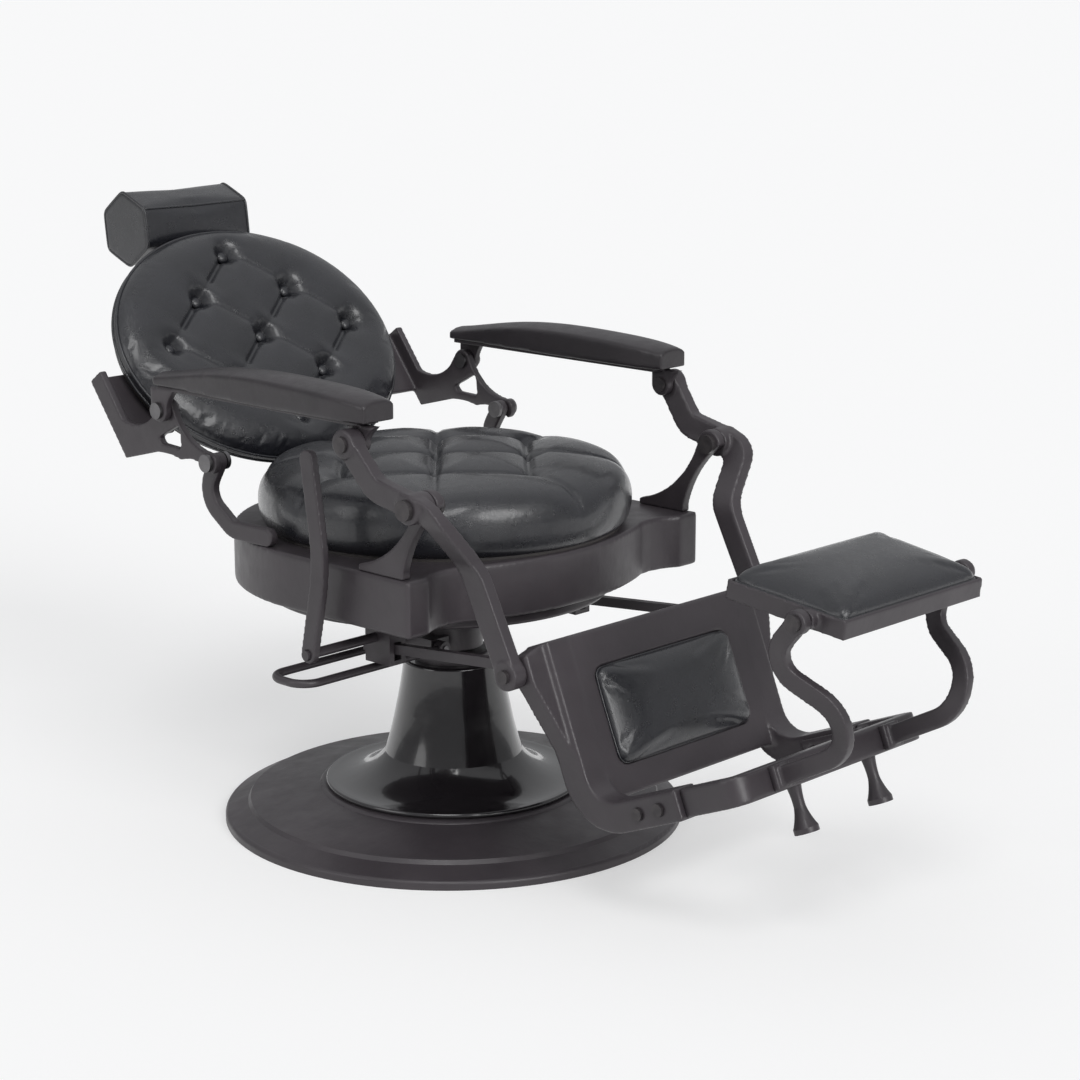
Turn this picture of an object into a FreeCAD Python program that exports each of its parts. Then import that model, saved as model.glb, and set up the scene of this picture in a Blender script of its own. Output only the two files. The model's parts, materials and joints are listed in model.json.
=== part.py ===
import FreeCAD, Part
import math
import os
import re
import Sketcher
from FreeCAD import Placement, Rotation, Vector

# Reclining barber chair on a round floor base, drawn in the part-reclined position.
# X is the sitter's left, -Y is forward, Z is up; the origin is on the floor under the column.
# All lengths are millimetres and all angles are degrees.

SIZES = [
    # Clearances
    ("free_gap", 0.3, "gap between pieces that must not touch"),
    ("running_fit", 0.05, "radial play of a shaft or pin in its bore"),
    ("pivot_play", 0.8, "radial play of the front arm pivot, which closes the linkage"),
    # Floor base
    ("base_radius", 343, "outer radius of the round base"),
    ("rim_height", 13, "upright edge of the base"),
    ("rim_wall", 12, "thickness of the rim"),
    ("rim_band", 34, "radial width of the sloping band inside the rim"),
    ("band_rise", 12, "height that the band climbs"),
    ("dish_step", 6, "step between band and dish"),
    ("dish_top_radius", 196, "radius where the dish meets the column cover"),
    ("dish_top_height", 50, "height of the flat top of the dish"),
    ("dish_wall", 7, "wall of the cast dish"),
    ("floor_plate_thick", 6, "steel plate that closes the base"),
    # Column cover
    ("cover_foot_radius", 190, "radius of the bead at the foot of the cover"),
    ("cover_bead", 8, "height of that bead"),
    ("flare_radius", 103, "radius of the crease above the flare"),
    ("flare_height", 97, "height of that crease"),
    ("waist_radius", 86, "radius of the cover halfway up"),
    ("waist_height", 164, "height of that section"),
    ("cover_top_radius", 74, "radius of the cover at its top"),
    ("cover_top_height", 240, "height of the top of the cover"),
    ("cover_wall", 4, "wall of the cover"),
    # Hydraulic lift
    ("cylinder_radius", 48, "outer radius of the pump cylinder"),
    ("cylinder_wall", 7, "wall of the cylinder"),
    ("cylinder_sink", 4, "how far the cylinder ends below the top of the cover"),
    ("cylinder_floor", 10, "thickness of the cylinder's closed end"),
    ("flange_radius", 92, "radius of the cylinder's bolting flange"),
    ("flange_thick", 12, "thickness of that flange"),
    ("flange_bolt_circle", 74, "radius of the circle of flange bolts"),
    ("flange_bolt_radius", 6, "shank radius of a flange bolt"),
    ("gland_radius", 57, "radius of the gland collar"),
    ("gland_height", 18, "height of the gland collar"),
    ("ram_radius", 30, "radius of the lift ram"),
    ("ram_bottom", 40, "height of the lower end of the lowered ram"),
    ("seal_height", 14, "height of the piston seal"),
    # Swivel head and carrier pan
    ("head_radius", 45, "radius of the swivel head"),
    ("head_clearance", 6, "gap between the gland collar and the swivel head"),
    ("head_roof", 12, "thickness of metal above the ram"),
    ("head_flange_radius", 95, "radius of the flange under the pan"),
    ("head_flange_thick", 10, "thickness of that flange"),
    ("pan_radius", 256, "outer radius of the carrier pan"),
    ("pan_depth", 22, "depth of the pan"),
    ("pan_wall", 8, "wall and floor of the pan"),
    # Seat
    ("ring_bottom", 365, "height of the lower edge of the seat ring"),
    ("ring_height", 80, "height of the seat ring"),
    ("ring_radius", 300, "radius of the rear of the ring"),
    ("ring_centre", 30, "how far the ring's centre is behind the column"),
    ("ring_wall", 11, "wall of the ring"),
    ("ring_flange", 8, "thickness of the ring's two inner flanges"),
    ("ring_opening", 240, "radius of the opening in those flanges"),
    ("ear_front", 220, "how far the ears reach forward"),
    ("ear_width", 38, "width of the flat front of an ear"),
    ("bow_half_width", 188, "half width of the bowed front"),
    ("bow_root", 208, "how far forward the ends of the bow are"),
    ("bow_radius", 420, "radius of the bowed front"),
    ("ear_hollow", 90, "radius of the hollow between bow and ear"),
    ("board_radius", 260, "radius of the seat board"),
    ("board_thick", 12, "thickness of the seat board"),
    ("cushion_centre", 13, "how far the seat cushion's centre is behind the column"),
    ("cushion_radius", 278, "radius of the seat cushion"),
    ("cushion_height", 120, "height of the seat cushion"),
    ("cushion_crown", 16, "rise of its top towards the middle"),
    # Linkage pivots
    ("hinge_y", 182, "back hinge, distance behind the column"),
    ("hinge_z", 553, "back hinge, height"),
    ("arm_rear_y", 275, "rear arm pivot, distance behind the column"),
    ("arm_rear_z", 619, "rear arm pivot, height"),
    ("arm_front_y", -140, "front arm pivot, distance behind the column"),
    ("arm_front_z", 628, "front arm pivot, height"),
    ("lever_pivot_y", -253, "side lever pivot, distance behind the column"),
    ("lever_pivot_z", 555, "side lever pivot, height"),
    ("pin_radius", 7, "radius of the arm pivot pins"),
    ("hinge_pin_radius", 8, "radius of the back hinge and side lever pins"),
    ("lever_bolt_head", 14, "radius of a side lever pivot bolt's heads"),
    ("lever_bolt_cap", 7, "thickness of those heads"),
    ("hinge_pin_head", 13, "radius of a back hinge pin's heads"),
    ("hinge_pin_cap", 6, "thickness of those heads"),
    ("arm_pin_head", 12, "radius of a rear arm pin's heads"),
    ("arm_pin_cap", 5, "thickness of those heads"),
    ("top_pin_head", 11, "radius of a front arm pin's heads"),
    ("top_pin_cap", 4, "thickness of those heads"),
    # Side plates, from the seat outwards
    ("bracket_inner", 282, "inner face of the lever brackets"),
    ("bracket_thick", 15, "thickness of the lever brackets"),
    ("bracket_foot_rear", 118, "how far forward the rear of a bracket foot is"),
    ("bracket_foot_front", 206, "how far forward the front of a bracket foot is"),
    ("bracket_boss", 21, "radius of the boss at the side lever pivot"),
    ("strap_inner", 281, "inner face of the back straps"),
    ("strap_thick", 14, "thickness of the back straps"),
    ("strap_width", 26, "width of a back strap"),
    ("strap_foot_y", 76, "distance of the strap's foot behind the column"),
    ("strap_bow_y", 214, "distance of the strap's bow behind the column"),
    ("strap_bow_z", 470, "height of the strap's bow"),
    ("strap_run", 62, "length of the strap's sloping run"),
    ("strap_bend", 36, "radius of the strap's bends"),
    ("back_plate_inner", 296, "inner face of the back brackets"),
    ("back_plate_thick", 12, "thickness of the back brackets"),
    ("back_plate_boss", 18, "radius of a back bracket's round ends"),
    ("back_bar_width", 22, "width of a back bracket's bar along the rim"),
    # Side levers
    ("lever_x", 318, "distance of a side lever from the middle, at its pivot"),
    ("lever_lean", 8, "outward lean of the side levers"),
    ("lever_foot_x", 261, "distance of a side lever from the middle, at its foot"),
    ("lever_crank_high", 546, "height where the side lever starts to turn inwards"),
    ("lever_crank_low", 474, "height where it runs straight down again"),
    ("lever_crank_bend", 60, "radius of the two bends between them"),
    ("lever_width", 36, "width of a side lever"),
    ("lever_thick", 20, "thickness of a side lever"),
    ("lever_boss", 20, "radius of the bosses at the lever's two ends"),
    ("lever_boss_proud", 3, "how far a boss stands out of the lever's ends"),
    ("pivot_boss_proud", 6, "how far the boss at the pivot stands out of the leaning lever"),
    ("lever_neck_y", -184, "lever neck under the arm, distance behind the column"),
    ("lever_neck_z", 572, "lever neck, height"),
    ("lever_shoulder_y", -287, "lever shoulder, distance behind the column"),
    ("lever_shoulder_z", 549, "lever shoulder, height"),
    ("lever_knee_y", -301, "lever knee, distance behind the column"),
    ("lever_knee_z", 480, "lever knee, height"),
    ("lever_foot_y", -372, "lever foot on the legrest, distance behind the column"),
    ("lever_foot_z", 340, "lever foot, height"),
    ("lever_bend", 34, "radius of the lever's bends"),
    # Back
    ("back_y", 438, "middle of the back, distance behind the column"),
    ("back_z", 642, "middle of the back, height"),
    ("back_tilt", 37, "lean of the back from upright"),
    ("back_half_width", 264, "half width of the oval back"),
    ("back_half_height", 204, "half height of the oval back"),
    ("back_rise", 9, "how far the oval's middle is above the reference point"),
    ("back_cushion_thick", 46, "thickness of the back cushion"),
    ("back_cushion_round", 30, "rounding of the back cushion's front"),
    ("back_board_thick", 14, "thickness of the board behind the cushion"),
    ("board_inset", 12, "how far the board behind the cushion is inside the back's rim"),
    ("shell_inset", 60, "how far the rear shell is inside the back's rim"),
    ("shell_depth", 26, "depth of the rear shell"),
    ("shell_taper", 28, "slope of the shell's side"),
    ("shell_wall", 5, "wall of the shell"),
    ("tab_thick", 8, "thickness of the bracket's rear tab"),
    ("tab_inner", 206, "inner end of the rear tab"),
    ("tab_bolt_inset", 12, "distance of the bracket bolts from the tab's inner end"),
    ("tab_low", -100, "lower edge of the rear tab, along the back"),
    ("tab_high", 6, "upper edge of the rear tab, along the back"),
    ("tab_bolt_radius", 5, "shank radius of a bracket bolt"),
    # Headrest
    ("post_width", 32, "width of the headrest post"),
    ("post_thick", 12, "thickness of the headrest post"),
    ("post_bottom", 30, "lower end of the post, along the back"),
    ("post_offset", 12, "gap between the shell and the post"),
    ("socket_wall", 8, "wall of the post socket"),
    ("socket_low", 62, "lower end of the socket, along the back"),
    ("socket_high", 172, "upper end of the socket, along the back"),
    ("roll_along", 264, "middle of the headrest roll, along the back"),
    ("roll_behind", 28, "middle of the headrest roll, behind the back's reference plane"),
    ("roll_half", 54, "half width of the roll across its flats"),
    ("roll_round", 20, "rounding of the roll's edges"),
    ("roll_length", 212, "length of the roll"),
    ("roll_pin_radius", 6, "radius of the headrest pin"),
    ("yoke_wall", 6, "wall of the headrest yoke"),
    ("notch_front", 34, "how far the roll's notch reaches in front of the pin"),
    ("notch_top", 24, "how far the roll's notch reaches above the pin"),
    # Armrests
    ("arm_x", 300, "distance of an armrest from the middle"),
    ("arm_half_width", 33, "half width of an armrest"),
    ("arm_tail_half_width", 25, "half width of an armrest at its rear end"),
    ("arm_rear_end", 282, "rear end of an armrest"),
    ("arm_front_end", -168, "front end of an armrest"),
    ("arm_underside", 656, "height of an armrest's underside"),
    ("arm_top", 700, "height of an armrest's crown"),
    ("arm_tail_top", 674, "height of an armrest's rear end"),
    ("arm_nose_top", 686, "height of an armrest's front end"),
    ("arm_crown", 7, "rise of an armrest's top across its width"),
    ("rail_thick", 6, "thickness of the metal rail under an armrest"),
    ("rail_half_width", 20, "half width of that rail"),
    ("lug_thick", 13, "thickness of the rail's pivot lugs"),
    ("lug_radius", 17, "radius of the rail's pivot lugs"),
    ("lug_flare", 20, "how far a lug widens on each side towards the rail"),
    # Legrest, in its own tilted frame whose origin is the top middle of the panel
    ("legrest_y", -383, "panel top, distance behind the column"),
    ("legrest_z", 360, "panel top, height"),
    ("legrest_tilt", 22.3, "tilt of the legrest from upright"),
    ("panel_half_width", 170, "half width of the panel"),
    ("panel_top", 15, "upper edge of the panel"),
    ("panel_bottom", -212, "lower edge of the panel"),
    ("panel_thick", 18, "thickness of the panel"),
    ("panel_front", -12, "front face of the panel"),
    ("calf_half_width", 138, "half width of the calf pad's recess"),
    ("calf_top", -36, "upper edge of that recess"),
    ("calf_bottom", -172, "lower edge of that recess"),
    ("calf_recess", 7, "depth of that recess"),
    ("calf_corner", 16, "corner radius of the recess"),
    ("calf_rise", 17, "how far the calf pad stands out of its recess"),
    ("calf_round", 10, "rounding of the calf pad's front"),
    ("rail_width", 42, "width of a legrest rail across the chair"),
    ("rail_depth", 42, "depth of a legrest rail"),
    ("rail_middle", 8, "middle of a rail, front to back"),
    ("rail_bend", 62, "radius of a rail's lower bend"),
    ("foot_level", -232, "level of the foot frame"),
    ("seam", -160, "seam between rail and foot frame"),
    ("stub_radius", 19, "radius of the stub between rail and side lever"),
    ("wing_low", -150, "lower end of the wing that widens a rail towards its stub"),
    ("wing_front", -6, "front face of that wing"),
    ("wing_thick", 30, "thickness of that wing"),
    ("foot_bar_height", 38, "height of the foot frame's bar"),
    ("foot_bar_thick", 26, "thickness of the foot frame's bar"),
    ("foot_half_width", 202, "half width of the foot frame"),
    ("foot_reach", -256, "front face of the foot frame"),
    ("foot_corner", 30, "outer corner radius of the foot frame"),
    ("tongue_thick", 11, "thickness of the foot frame's bolted tongues"),
    ("tongue_end", -66, "rear end of the tongues"),
    ("foot_bolt_radius", 5, "shank radius of a foot frame bolt"),
    ("foot_bolt_cap", 4, "thickness of a foot frame bolt's head"),
    ("lever_foot_cap", 5, "thickness of a side lever foot bolt's head"),
    ("peg_x", 80, "distance of a floor peg from the middle"),
    ("peg_length", 62, "length of a floor peg"),
    ("peg_radius", 8, "radius of a floor peg's neck"),
    ("peg_foot_radius", 17, "radius of a floor peg's foot"),
    # Foot pad and its brackets
    ("pad_pivot_y", -406, "foot pad pivot in front of the panel"),
    ("pad_pivot_z", -47, "foot pad pivot below the panel's top"),
    ("pad_pivot_x", 176, "distance of a pad bracket from the middle, at the pivot"),
    ("pad_foot_x", 118, "distance of a pad bracket from the middle, at the foot frame"),
    ("pad_bracket_width", 26, "width of a pad bracket"),
    ("pad_bracket_thick", 16, "thickness of a pad bracket"),
    ("pad_flange_width", 34, "width of a pad bracket's flange on the foot frame"),
    ("pad_flange_thick", 10, "thickness of that flange"),
    ("pad_bow_y", -432, "front corner of the pad bracket's path"),
    ("pad_bow_z", -214, "height of that corner"),
    ("pad_waist_y", -334, "rear corner of the pad bracket's path"),
    ("pad_waist_z", -84, "height of that corner"),
    ("pad_bow_radius", 52, "bend at the front corner"),
    ("pad_waist_radius", 40, "bend at the rear corner"),
    ("pad_tilt", 8, "slope of the foot pad, front down"),
    ("tray_front", 50, "length of the tray in front of its pivot"),
    ("tray_rear", 128, "length of the tray behind its pivot"),
    ("tray_front_half", 148, "half width of the tray's front"),
    ("tray_rear_half", 160, "half width of the tray's rear"),
    ("tray_below", 14, "depth of the tray below its pivot"),
    ("tray_above", 12, "height of the tray above its pivot"),
    ("tray_wall", 4, "wall and floor of the tray"),
    ("tray_boss", 13, "radius of the tray's pivot bosses"),
    ("pad_boss_gap", 5, "gap between a boss and the splayed bracket beside it"),
    ("pad_rise", 24, "how far the foot cushion stands above the tray"),
    ("pad_round", 16, "rounding of the foot cushion"),
    ("pad_bolt_radius", 6, "shank radius of a pad pivot bolt"),
    ("pad_bolt_cap", 5, "thickness of a pad pivot bolt's head"),
    # Recline lock and hand lever
    ("lock_x", 193, "distance of a lock bar from the middle"),
    ("lock_width", 12, "width of a lock bar"),
    ("lock_height", 14, "height of a lock bar"),
    ("lock_pin_y", 51, "lock bar pin behind the panel's top"),
    ("lock_pin_z", -12, "lock bar pin below the panel's top"),
    ("lock_pin_radius", 5, "radius of a lock bar pin"),
    ("lock_length", 322, "length of a lock bar behind its pin"),
    ("lock_slope", 5.1, "slope of a lock bar, rear down"),
    ("lock_play", 2.5, "play of a lock bar in its guide, up and down"),
    ("lock_sag", 3, "further room below a lock bar, which dips in the middle of its travel"),
    ("guide_y", -60, "middle of a lock guide"),
    ("guide_length", 50, "length of a lock guide"),
    ("guide_wall", 9, "wall of a lock guide beside the bar"),
    ("shaft_y", -55, "hand lever shaft, distance behind the column"),
    ("shaft_z", 321, "hand lever shaft, height"),
    ("shaft_radius", 7, "radius of that shaft"),
    ("hand_lever_x", 330, "distance of the hand lever from the middle"),
    ("hand_lever_thick", 12, "thickness of the hand lever"),
    ("hand_lever_width", 26, "width of the hand lever"),
    ("hand_lever_bend", 260, "radius of the hand lever's bow"),
    ("hand_lever_bow_y", -82, "bow of the hand lever, distance behind the column"),
    ("hand_lever_bow_z", 450, "bow of the hand lever, height"),
    ("hand_lever_top_y", -60, "top of the hand lever, distance behind the column"),
    ("hand_lever_top_z", 596, "top of the hand lever, height"),
    # Pump lever
    ("pump_pivot_x", 60, "distance of the pump lever's pivot from the middle"),
    ("pump_rise", 11, "height of that pivot above the swivel head's lower end"),
    ("pump_half_width", 38, "half width of the pump lever's loop"),
    ("pump_rod_radius", 6, "radius of the loop's rod"),
    ("pump_reach", 335, "how far the loop reaches out from the middle"),
    ("pump_bend", 30, "radius of the loop's corners"),
    ("pump_pin_radius", 5, "radius of the pump lever's pin"),
]

# Heights that follow the cover: the cylinder's upper end, the swivel head's lower end, the pump pivot.
DERIVED = {
    "cylinder_top": "(cover_top_height - cylinder_sink)",
    "head_bottom": "(cylinder_top + gland_height + head_clearance)",
    "pump_pivot_z": "(head_bottom + pump_rise)",
}

ALIASES = {name for name, size, note in SIZES}

doc = FreeCAD.newDocument("barber_chair")
sheet = doc.addObject("Spreadsheet::Sheet", "Sizes")
for row, (name, size, note) in enumerate(SIZES, 1):
    sheet.set("A%d" % row, note)
    sheet.set("B%d" % row, "%g" % size)
    sheet.setAlias("B%d" % row, name)
doc.recompute()

nodes = []


def linked(expression):
    """The expression with every size name pointing at the sheet and every derived height spelt out."""
    def point_at_sheet(match):
        word = match.group(0)
        if word in DERIVED:
            return linked(DERIVED[word])
        return "Sizes." + word if word in ALIASES else word
    return re.sub(r"[a-z_]+", point_at_sheet, str(expression))


def value(expression):
    """The number that an expression of size names gives now."""
    number = sheet.evalExpression(linked(expression))
    return float(getattr(number, "Value", number))


def bind(thing, prop, expression):
    thing.setExpression(prop, linked(expression))


def node(thing, label):
    """Mark an object of the document as a finished sub-part."""
    thing.Label = label
    nodes.append(thing)
    return thing


# Sketches and body features

def new_body(name):
    return doc.addObject("PartDesign::Body", name)


def new_sketch(body, plane, offset="0"):
    """A sketch on one of the body's origin planes, moved along the plane's normal."""
    sketch = body.newObject("Sketcher::SketchObject", body.Name + "_sketch")
    support = [f for f in body.Origin.OriginFeatures if f.Role == plane][0]
    sketch.AttachmentSupport = [(support, "")]
    sketch.MapMode = "FlatFace"
    bind(sketch, "AttachmentOffset.Base.z", offset)
    return sketch


def pin_point(sketch, geometry, position, x, y):
    """Hold one end of a piece of geometry at (x, y), given as expressions."""
    for kind, axis, expression in (("DistanceX", -2, x), ("DistanceY", -1, y)):
        if str(expression) == "0":
            sketch.addConstraint(Sketcher.Constraint("PointOnObject", geometry, position, axis))
        else:
            held = Sketcher.Constraint(kind, -1, 1, geometry, position, value(expression))
            index = sketch.addConstraint(held)
            bind(sketch, "Constraints[%d]" % index, expression)


def arc_between(start, end, radius):
    """The shorter arc from start to end; a positive radius bulges to the right of the way."""
    chord = end - start
    half = chord.Length / 2
    side = Vector(chord.y, -chord.x, 0).normalize()
    drop = math.sqrt(max(radius * radius - half * half, 0))
    bulge = side * math.copysign(abs(radius) - drop, radius)
    return Part.Arc(start, (start + end) * 0.5 + bulge, end)


def outline(sketch, corners):
    """A closed outline through corners (x, y) or (x, y, radius of the arc that leads there)."""
    first = sketch.GeometryCount
    points = [Vector(value(c[0]), value(c[1]), 0) for c in corners]
    ends = []
    for i, corner in enumerate(corners):
        start, end = points[i - 1], points[i]
        if len(corner) == 2:
            sketch.addGeometry(Part.LineSegment(start, end))
            ends.append((1, 2))
        else:
            radius = value(corner[2])
            sketch.addGeometry(arc_between(start, end, radius))
            ends.append((1, 2) if radius > 0 else (2, 1))
    count = len(corners)
    for i, corner in enumerate(corners):
        after = (i + 1) % count
        sketch.addConstraint(Sketcher.Constraint(
            "Coincident", first + i, ends[i][1], first + after, ends[after][0]))
        pin_point(sketch, first + i, ends[i][1], corner[0], corner[1])
        if len(corner) == 3:
            radius = abs(value(corner[2]))
            index = sketch.addConstraint(Sketcher.Constraint("Radius", first + i, radius))
            bind(sketch, "Constraints[%d]" % index, "abs(%s)" % corner[2])
    return sketch


def circle(sketch, x, y, radius):
    """A full circle about (x, y)."""
    middle = Vector(value(x), value(y), 0)
    index = sketch.addGeometry(Part.Circle(middle, Vector(0, 0, 1), value(radius)))
    pin_point(sketch, index, 3, x, y)
    held = sketch.addConstraint(Sketcher.Constraint("Radius", index, value(radius)))
    bind(sketch, "Constraints[%d]" % held, radius)
    return sketch


def box_corners(x_low, x_high, y_low, y_high):
    return [(x_low, y_low), (x_high, y_low), (x_high, y_high), (x_low, y_high)]


def pad(body, sketch, length, both_ways=False, reverse=False):
    feature = body.newObject("PartDesign::Pad", body.Name + "_pad")
    feature.Profile = sketch
    bind(feature, "Length", length)
    feature.SideType = "Symmetric" if both_ways else "One side"
    feature.Reversed = reverse
    return feature


def pocket(body, sketch, length, both_ways=False, reverse=False):
    feature = body.newObject("PartDesign::Pocket", body.Name + "_pocket")
    feature.Profile = sketch
    bind(feature, "Length", length)
    feature.SideType = "Symmetric" if both_ways else "One side"
    feature.Reversed = reverse
    return feature


def revolve(body, sketch):
    feature = body.newObject("PartDesign::Revolution", body.Name + "_revolution")
    feature.Profile = sketch
    feature.ReferenceAxis = (sketch, ["V_Axis"])
    feature.Angle = 360
    return feature


def round_edges(body, radius, choose):
    """Fillet the edges of the body so far that choose(edge) picks."""
    doc.recompute()
    base = body.Tip
    names = ["Edge%d" % (i + 1) for i, e in enumerate(base.Shape.Edges) if choose(e)]
    feature = body.newObject("PartDesign::Fillet", body.Name + "_fillet")
    feature.Base = (base, names)
    bind(feature, "Radius", radius)
    return feature


def lathe(name, corners):
    """A body turned about the Z axis from corners (radius, height)."""
    body = new_body(name)
    revolve(body, outline(new_sketch(body, "XZ_Plane"), corners))
    return body


def place(thing, x="0", y="0", z="0", axis=(1, 0, 0), angle="0"):
    """Put an object at (x, y, z), turned about an axis, all as expressions."""
    thing.Placement = Placement(Vector(0, 0, 0), Rotation(Vector(*axis), 1))
    bind(thing, ".Placement.Base.x", x)
    bind(thing, ".Placement.Base.y", y)
    bind(thing, ".Placement.Base.z", z)
    bind(thing, ".Placement.Rotation.Angle", angle)
    return thing


# Part objects

def rod(name, radius, length):
    thing = doc.addObject("Part::Cylinder", name)
    bind(thing, "Radius", radius)
    bind(thing, "Height", length)
    return thing


def rod_along_x(name, radius, x_start, x_end, y, z):
    """A round bar along X between two distances from the middle."""
    thing = rod(name, radius, "(%s) - (%s)" % (x_end, x_start))
    return place(thing, x_start, y, z, (0, 1, 0), "90")


def block(name, x, y, z):
    """A box between pairs of expressions."""
    thing = doc.addObject("Part::Box", name)
    for prop, (low, high) in zip(("Length", "Width", "Height"), (x, y, z)):
        bind(thing, prop, "(%s) - (%s)" % (high, low))
    return place(thing, x[0], y[0], z[0])


def fuse(name, things):
    thing = doc.addObject("Part::MultiFuse", name)
    thing.Shapes = things
    thing.Refine = True
    return thing


def cut(name, base, tools):
    """Base less each of the tools."""
    tool = tools[0]
    if len(tools) > 1:
        tool = doc.addObject("Part::Compound", name + "_tools")
        tool.Links = tools
    thing = doc.addObject("Part::Cut", name)
    thing.Base = base
    thing.Tool = tool
    return thing


def mirrored(name, source):
    """The same piece on the sitter's right."""
    thing = doc.addObject("Part::Mirroring", name)
    thing.Source = source
    thing.Normal = Vector(1, 0, 0)
    return thing


def group(name, things):
    thing = doc.addObject("Part::Compound", name)
    thing.Links = things
    return thing


def left_and_right(thing, name):
    """The left piece and its mirror image, each a node."""
    node(thing, name + "_left")
    node(mirrored(name + "_mirror", thing), name + "_right")


def pair(thing, name):
    """The left piece and its mirror image as one node."""
    node(group(name + "_pair", [thing, mirrored(name + "_mirror", thing)]), name)


def headed_pin(name, radius, ends, head_radius, head_thick, y, z):
    """A pin along X with a thicker head outside and a thinner one inside."""
    inner, outer = ends
    return fuse(name, [
        rod_along_x(name + "_shank", radius, inner, outer, y, z),
        rod_along_x(name + "_head", head_radius, outer, "(%s) + %s" % (outer, head_thick), y, z),
        rod_along_x(name + "_nut", head_radius, "(%s) - %s" % (inner, head_thick), inner, y, z)])


# Tilted frames

def along_back(y, z):
    """Floor-frame expressions (y, z) as expressions in the frame of the back."""
    dy, dz = "((%s) - back_y)" % y, "((%s) - back_z)" % z
    return ("%s * cos(back_tilt) - %s * sin(back_tilt)" % (dy, dz),
            "%s * sin(back_tilt) + %s * cos(back_tilt)" % (dy, dz))


def place_on_back(thing):
    return place(thing, "0", "back_y", "back_z", (1, 0, 0), "-back_tilt")


def place_on_legrest(thing):
    return place(thing, "0", "legrest_y", "legrest_z", (1, 0, 0), "-legrest_tilt")


def from_legrest(y, z):
    """Legrest-frame expressions (y, z) as expressions in the floor frame."""
    return ("legrest_y + (%s) * cos(legrest_tilt) + (%s) * sin(legrest_tilt)" % (y, z),
            "legrest_z - (%s) * sin(legrest_tilt) + (%s) * cos(legrest_tilt)" % (y, z))


# Bars bent in one plane

def bent_path(points, radii):
    """Straight runs through points, with an arc of the given radius at each inner point."""
    edges = []
    start = points[0]
    for corner, after, radius in zip(points[1:], points[2:], radii):
        arrive = (corner - start).normalize()
        leave = (after - corner).normalize()
        turn = arrive.getAngle(leave)
        setback = radius * math.tan(turn / 2)
        first, last = corner - arrive * setback, corner + leave * setback
        toward = (leave - arrive).normalize()
        middle = corner + toward * (radius / math.cos(turn / 2) - radius)
        edges.append(Part.LineSegment(start, first))
        edges.append(Part.Arc(first, middle, last))
        start = last
    edges.append(Part.LineSegment(start, points[-1]))
    return edges


def ribbon(sketch, points, radii, width, flat_start=False, flat_end=False):
    """The outline of a bar of even width along a bent path, with round or flat ends."""
    half = width / 2
    runs = [(b - a).normalize() for a, b in zip(points, points[1:])]
    normals = [Vector(-run.y, run.x, 0) for run in runs]
    sides = []
    for sign in (1, -1):
        moved = [points[0] + normals[0] * (sign * half)]
        bends = []
        for i, radius in enumerate(radii):
            before, after = normals[i], normals[i + 1]
            moved.append(points[i + 1] + (before + after) * (sign * half / (1 + before.dot(after))))
            turn = math.copysign(1, runs[i].cross(runs[i + 1]).z)
            bends.append(radius - sign * turn * half)
        moved.append(points[-1] + normals[-1] * (sign * half))
        sides.append((moved[0], moved[-1]))
        for edge in bent_path(moved, bends):
            sketch.addGeometry(edge)
    caps = ((0, points[0] - runs[0] * half, flat_start), (1, points[-1] + runs[-1] * half, flat_end))
    for end, tip, flat in caps:
        first, last = sides[0][end], sides[1][end]
        sketch.addGeometry(Part.LineSegment(first, last) if flat else Part.Arc(first, tip, last))
    return sketch


def plane_points(pairs):
    return [Vector(value(x), value(y), 0) for x, y in pairs]


# Floor base and lift

def base_dish():
    band_inner = "base_radius - rim_band"
    band_top = "rim_height + band_rise"
    hollow = "base_radius - rim_wall - 30"
    node(lathe("dish", [
        ("base_radius", "0"), ("base_radius", "rim_height - 5"),
        ("base_radius - 6", "rim_height + 1", "7"),
        (band_inner, band_top), (band_inner + " - 4", band_top + " + dish_step"),
        ("dish_top_radius + 6", "dish_top_height - 4"), ("dish_top_radius", "dish_top_height", "9"),
        ("cylinder_radius + running_fit", "dish_top_height"),
        ("cylinder_radius + running_fit", "dish_top_height - dish_wall"),
        ("dish_top_radius", "dish_top_height - dish_wall"),
        (hollow, "floor_plate_thick + 12"), (hollow, "floor_plate_thick"),
        ("base_radius - rim_wall", "floor_plate_thick"), ("base_radius - rim_wall", "0")]), "base_dish")
    plate = rod("plate", "base_radius - rim_wall - free_gap", "floor_plate_thick")
    node(plate, "floor_plate")


def column_cover():
    node(lathe("cover", [
        ("cover_foot_radius", "dish_top_height"),
        ("cover_foot_radius", "dish_top_height + cover_bead", "cover_bead * 0.6"),
        ("cover_foot_radius - 6", "dish_top_height + cover_bead"),
        ("flare_radius", "flare_height", "-86"), ("waist_radius", "waist_height", "-520"),
        ("cover_top_radius", "cover_top_height - 4", "-700"),
        ("cover_top_radius - 4", "cover_top_height", "5"),
        ("gland_radius + free_gap", "cover_top_height"),
        ("gland_radius + free_gap", "cover_top_height - cover_wall"),
        ("cover_top_radius - cover_wall - 2", "cover_top_height - cover_wall - 2"),
        ("waist_radius - cover_wall", "waist_height", "700"),
        ("flare_radius - cover_wall", "flare_height - 2", "520"),
        ("cover_foot_radius - 10", "dish_top_height + 4", "86"),
        ("cover_foot_radius - 10", "dish_top_height")]), "column_cover")


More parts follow.
